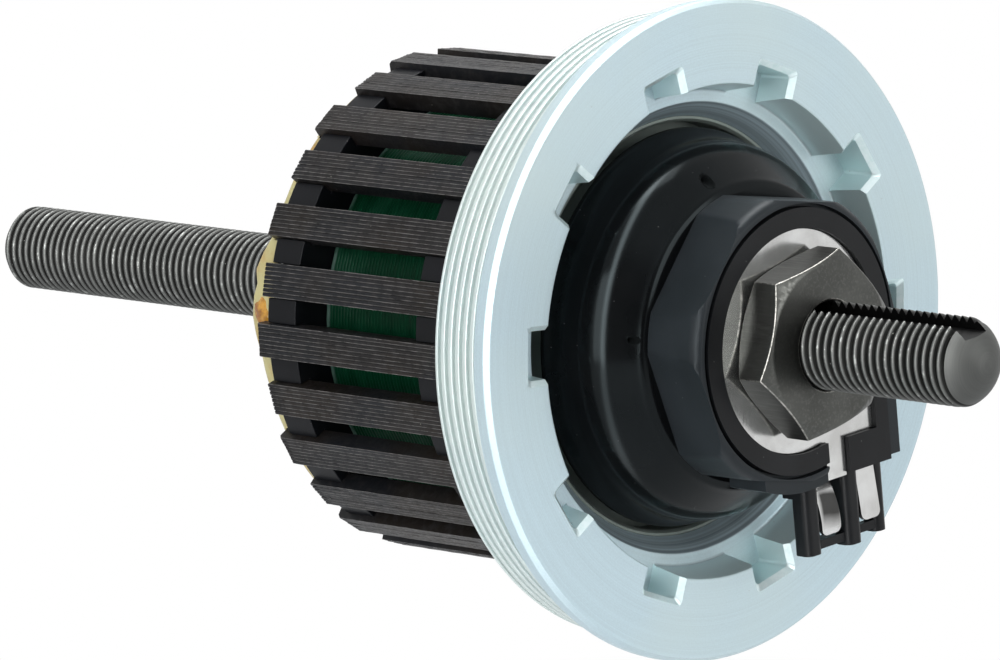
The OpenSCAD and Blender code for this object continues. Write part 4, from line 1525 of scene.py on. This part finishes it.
def floor_finish(studio):
    """Pale and matt, and lighter for rays that see it. Mirrored rays also find a light strip on
    it, which carries the arch on towards the object."""
    seen_glow, mirrored_glow = 0.62, 0.22
    material, tree, shader = new_material(
        "Pale floor", Base_Color=(0.9, 0.9, 0.9, 1), Roughness=0.9, Specular_IOR_Level=0.1)
    rays = tree.nodes.new("ShaderNodeLightPath")
    place = tree.nodes.new("ShaderNodeNewGeometry").outputs["Position"]
    ray = vector_maths(tree, "NORMALIZE", place)[0]
    reach = spread(tree, facing(tree, ray, STRIP_AHEAD), 0.10, 0.50, 0.0, studio.strip_level)
    strip = multiplied(tree, band(tree, ray, 0.06, 0.16), reach)
    level = added(
        tree, multiplied(tree, rays.outputs["Is Camera Ray"], seen_glow),
        multiplied(tree, mirrored(tree, rays), added(tree, strip, mirrored_glow)))
    glow = add_node(tree, "ShaderNodeEmission", Color=WHITE, Strength=level)
    both = add_node(tree, "ShaderNodeAddShader", _0=shader.outputs[0], _1=glow.outputs[0])
    feed(tree, tree.nodes["Material Output"], Surface=both.outputs[0])
    return material


def make_floor(studio):
    """The floor, which isn't part of the object."""
    half_side = 0.8
    work = bmesh.new()
    bmesh.ops.create_grid(work, x_segments=1, y_segments=1, size=half_side)
    mesh = mesh_from(work, "floor")
    mesh.materials.append(floor_finish(studio))
    floor = new_object("floor", mesh)
    floor.location.z = studio.floor_height


def aim(thing, direction):
    """Turns a lamp or a camera to look along a direction."""
    thing.rotation_mode = "QUATERNION"
    thing.rotation_quaternion = Vector(direction).to_track_quat("-Z", "Y")


def lamp(name, place, target, size, power):
    data = bpy.data.lights.new(name, "AREA")
    data.shape = "RECTANGLE"
    data.size, data.size_y = size
    data.energy = power * bpy.context.scene.dynamo_studio.lamp_level
    made = new_object(name, data)
    made.location = place
    aim(made, Vector(target) - Vector(place))


def make_camera(studio):
    """A long lens at the photograph's viewing angle."""
    data = bpy.data.cameras.new("Camera")
    data.lens = studio.lens
    data.sensor_width = 36.0
    data.clip_start, data.clip_end = 0.05, 50.0
    camera = new_object("Camera", data)
    camera.location = (-0.5929, -0.5843, 0.1057)
    aim(camera, (0.7079, 0.6944, -0.1294))
    return camera


class DynamoSetStage(bpy.types.Operator):
    """Set the floor, the backdrop light, the lamps and the camera"""

    bl_idname = "dynamo.set_stage"
    bl_label = "Stage"

    def execute(self, context):
        scene = context.scene
        studio = scene.dynamo_studio
        scene.view_settings.view_transform = "Standard"
        scene.world = make_world(studio)
        make_floor(studio)
        lamp("Key lamp", place=(-1.10, -0.42, 0.20), target=(0, -0.02, 0), size=(0.50, 1.00),
             power=7.5)
        lamp("Top lamp", place=(0.05, 0.10, 1.1), target=(0, 0, 0), size=(0.70, 0.70), power=6.0)
        lamp("Fill lamp", place=(0.35, -1.1, 0.25), target=(0, -0.02, 0), size=(0.6, 0.6),
             power=3.8)
        scene.camera = make_camera(studio)
        return {"FINISHED"}


OPERATORS = (
    DynamoSetStage, DynamoMakeAxle, DynamoMakePoles, DynamoMakeCoil, DynamoMakeBobbin,
    DynamoMakeFilm, DynamoDressClamping, DynamoDressConnector, DynamoDressCover,
    DynamoDressFlange, DynamoDressBearing, DynamoDressLeads)


class DynamoPanel(bpy.types.Panel):
    """Lists the steps that dress the dynamo"""

    bl_idname = "VIEW3D_PT_hub_dynamo"
    bl_label = "Hub dynamo"
    bl_space_type = "VIEW_3D"
    bl_region_type = "UI"
    bl_category = "Hub dynamo"

    def draw(self, context):
        for name, group in GROUPS.items():
            box = self.layout.box()
            box.label(text=group.__doc__)
            for key in group.__annotations__:
                box.prop(getattr(context.scene, name), key)
        for operator in OPERATORS:
            self.layout.operator(operator.bl_idname)


def register():
    for group in GROUPS.values():
        bpy.utils.register_class(group)
    for name, group in GROUPS.items():
        setattr(bpy.types.Scene, name, bpy.props.PointerProperty(type=group))
    for operator in (*OPERATORS, DynamoPanel):
        bpy.utils.register_class(operator)


def unregister():
    for operator in reversed((*OPERATORS, DynamoPanel)):
        bpy.utils.unregister_class(operator)
    for name in GROUPS:
        delattr(bpy.types.Scene, name)
    for group in GROUPS.values():
        bpy.utils.unregister_class(group)


def main():
    register()
    bpy.context.view_layer.update()
    bpy.ops.dynamo.set_stage()
    bpy.ops.dynamo.make_axle()
    bpy.ops.dynamo.make_poles()
    bpy.ops.dynamo.make_coil()
    bpy.ops.dynamo.make_bobbin()
    bpy.ops.dynamo.make_film()
    bpy.ops.dynamo.dress_clamping()
    bpy.ops.dynamo.dress_connector()
    bpy.ops.dynamo.dress_cover()
    bpy.ops.dynamo.dress_flange()
    bpy.ops.dynamo.dress_bearing()
    bpy.ops.dynamo.dress_leads()


if __name__ == "__main__":
    main()
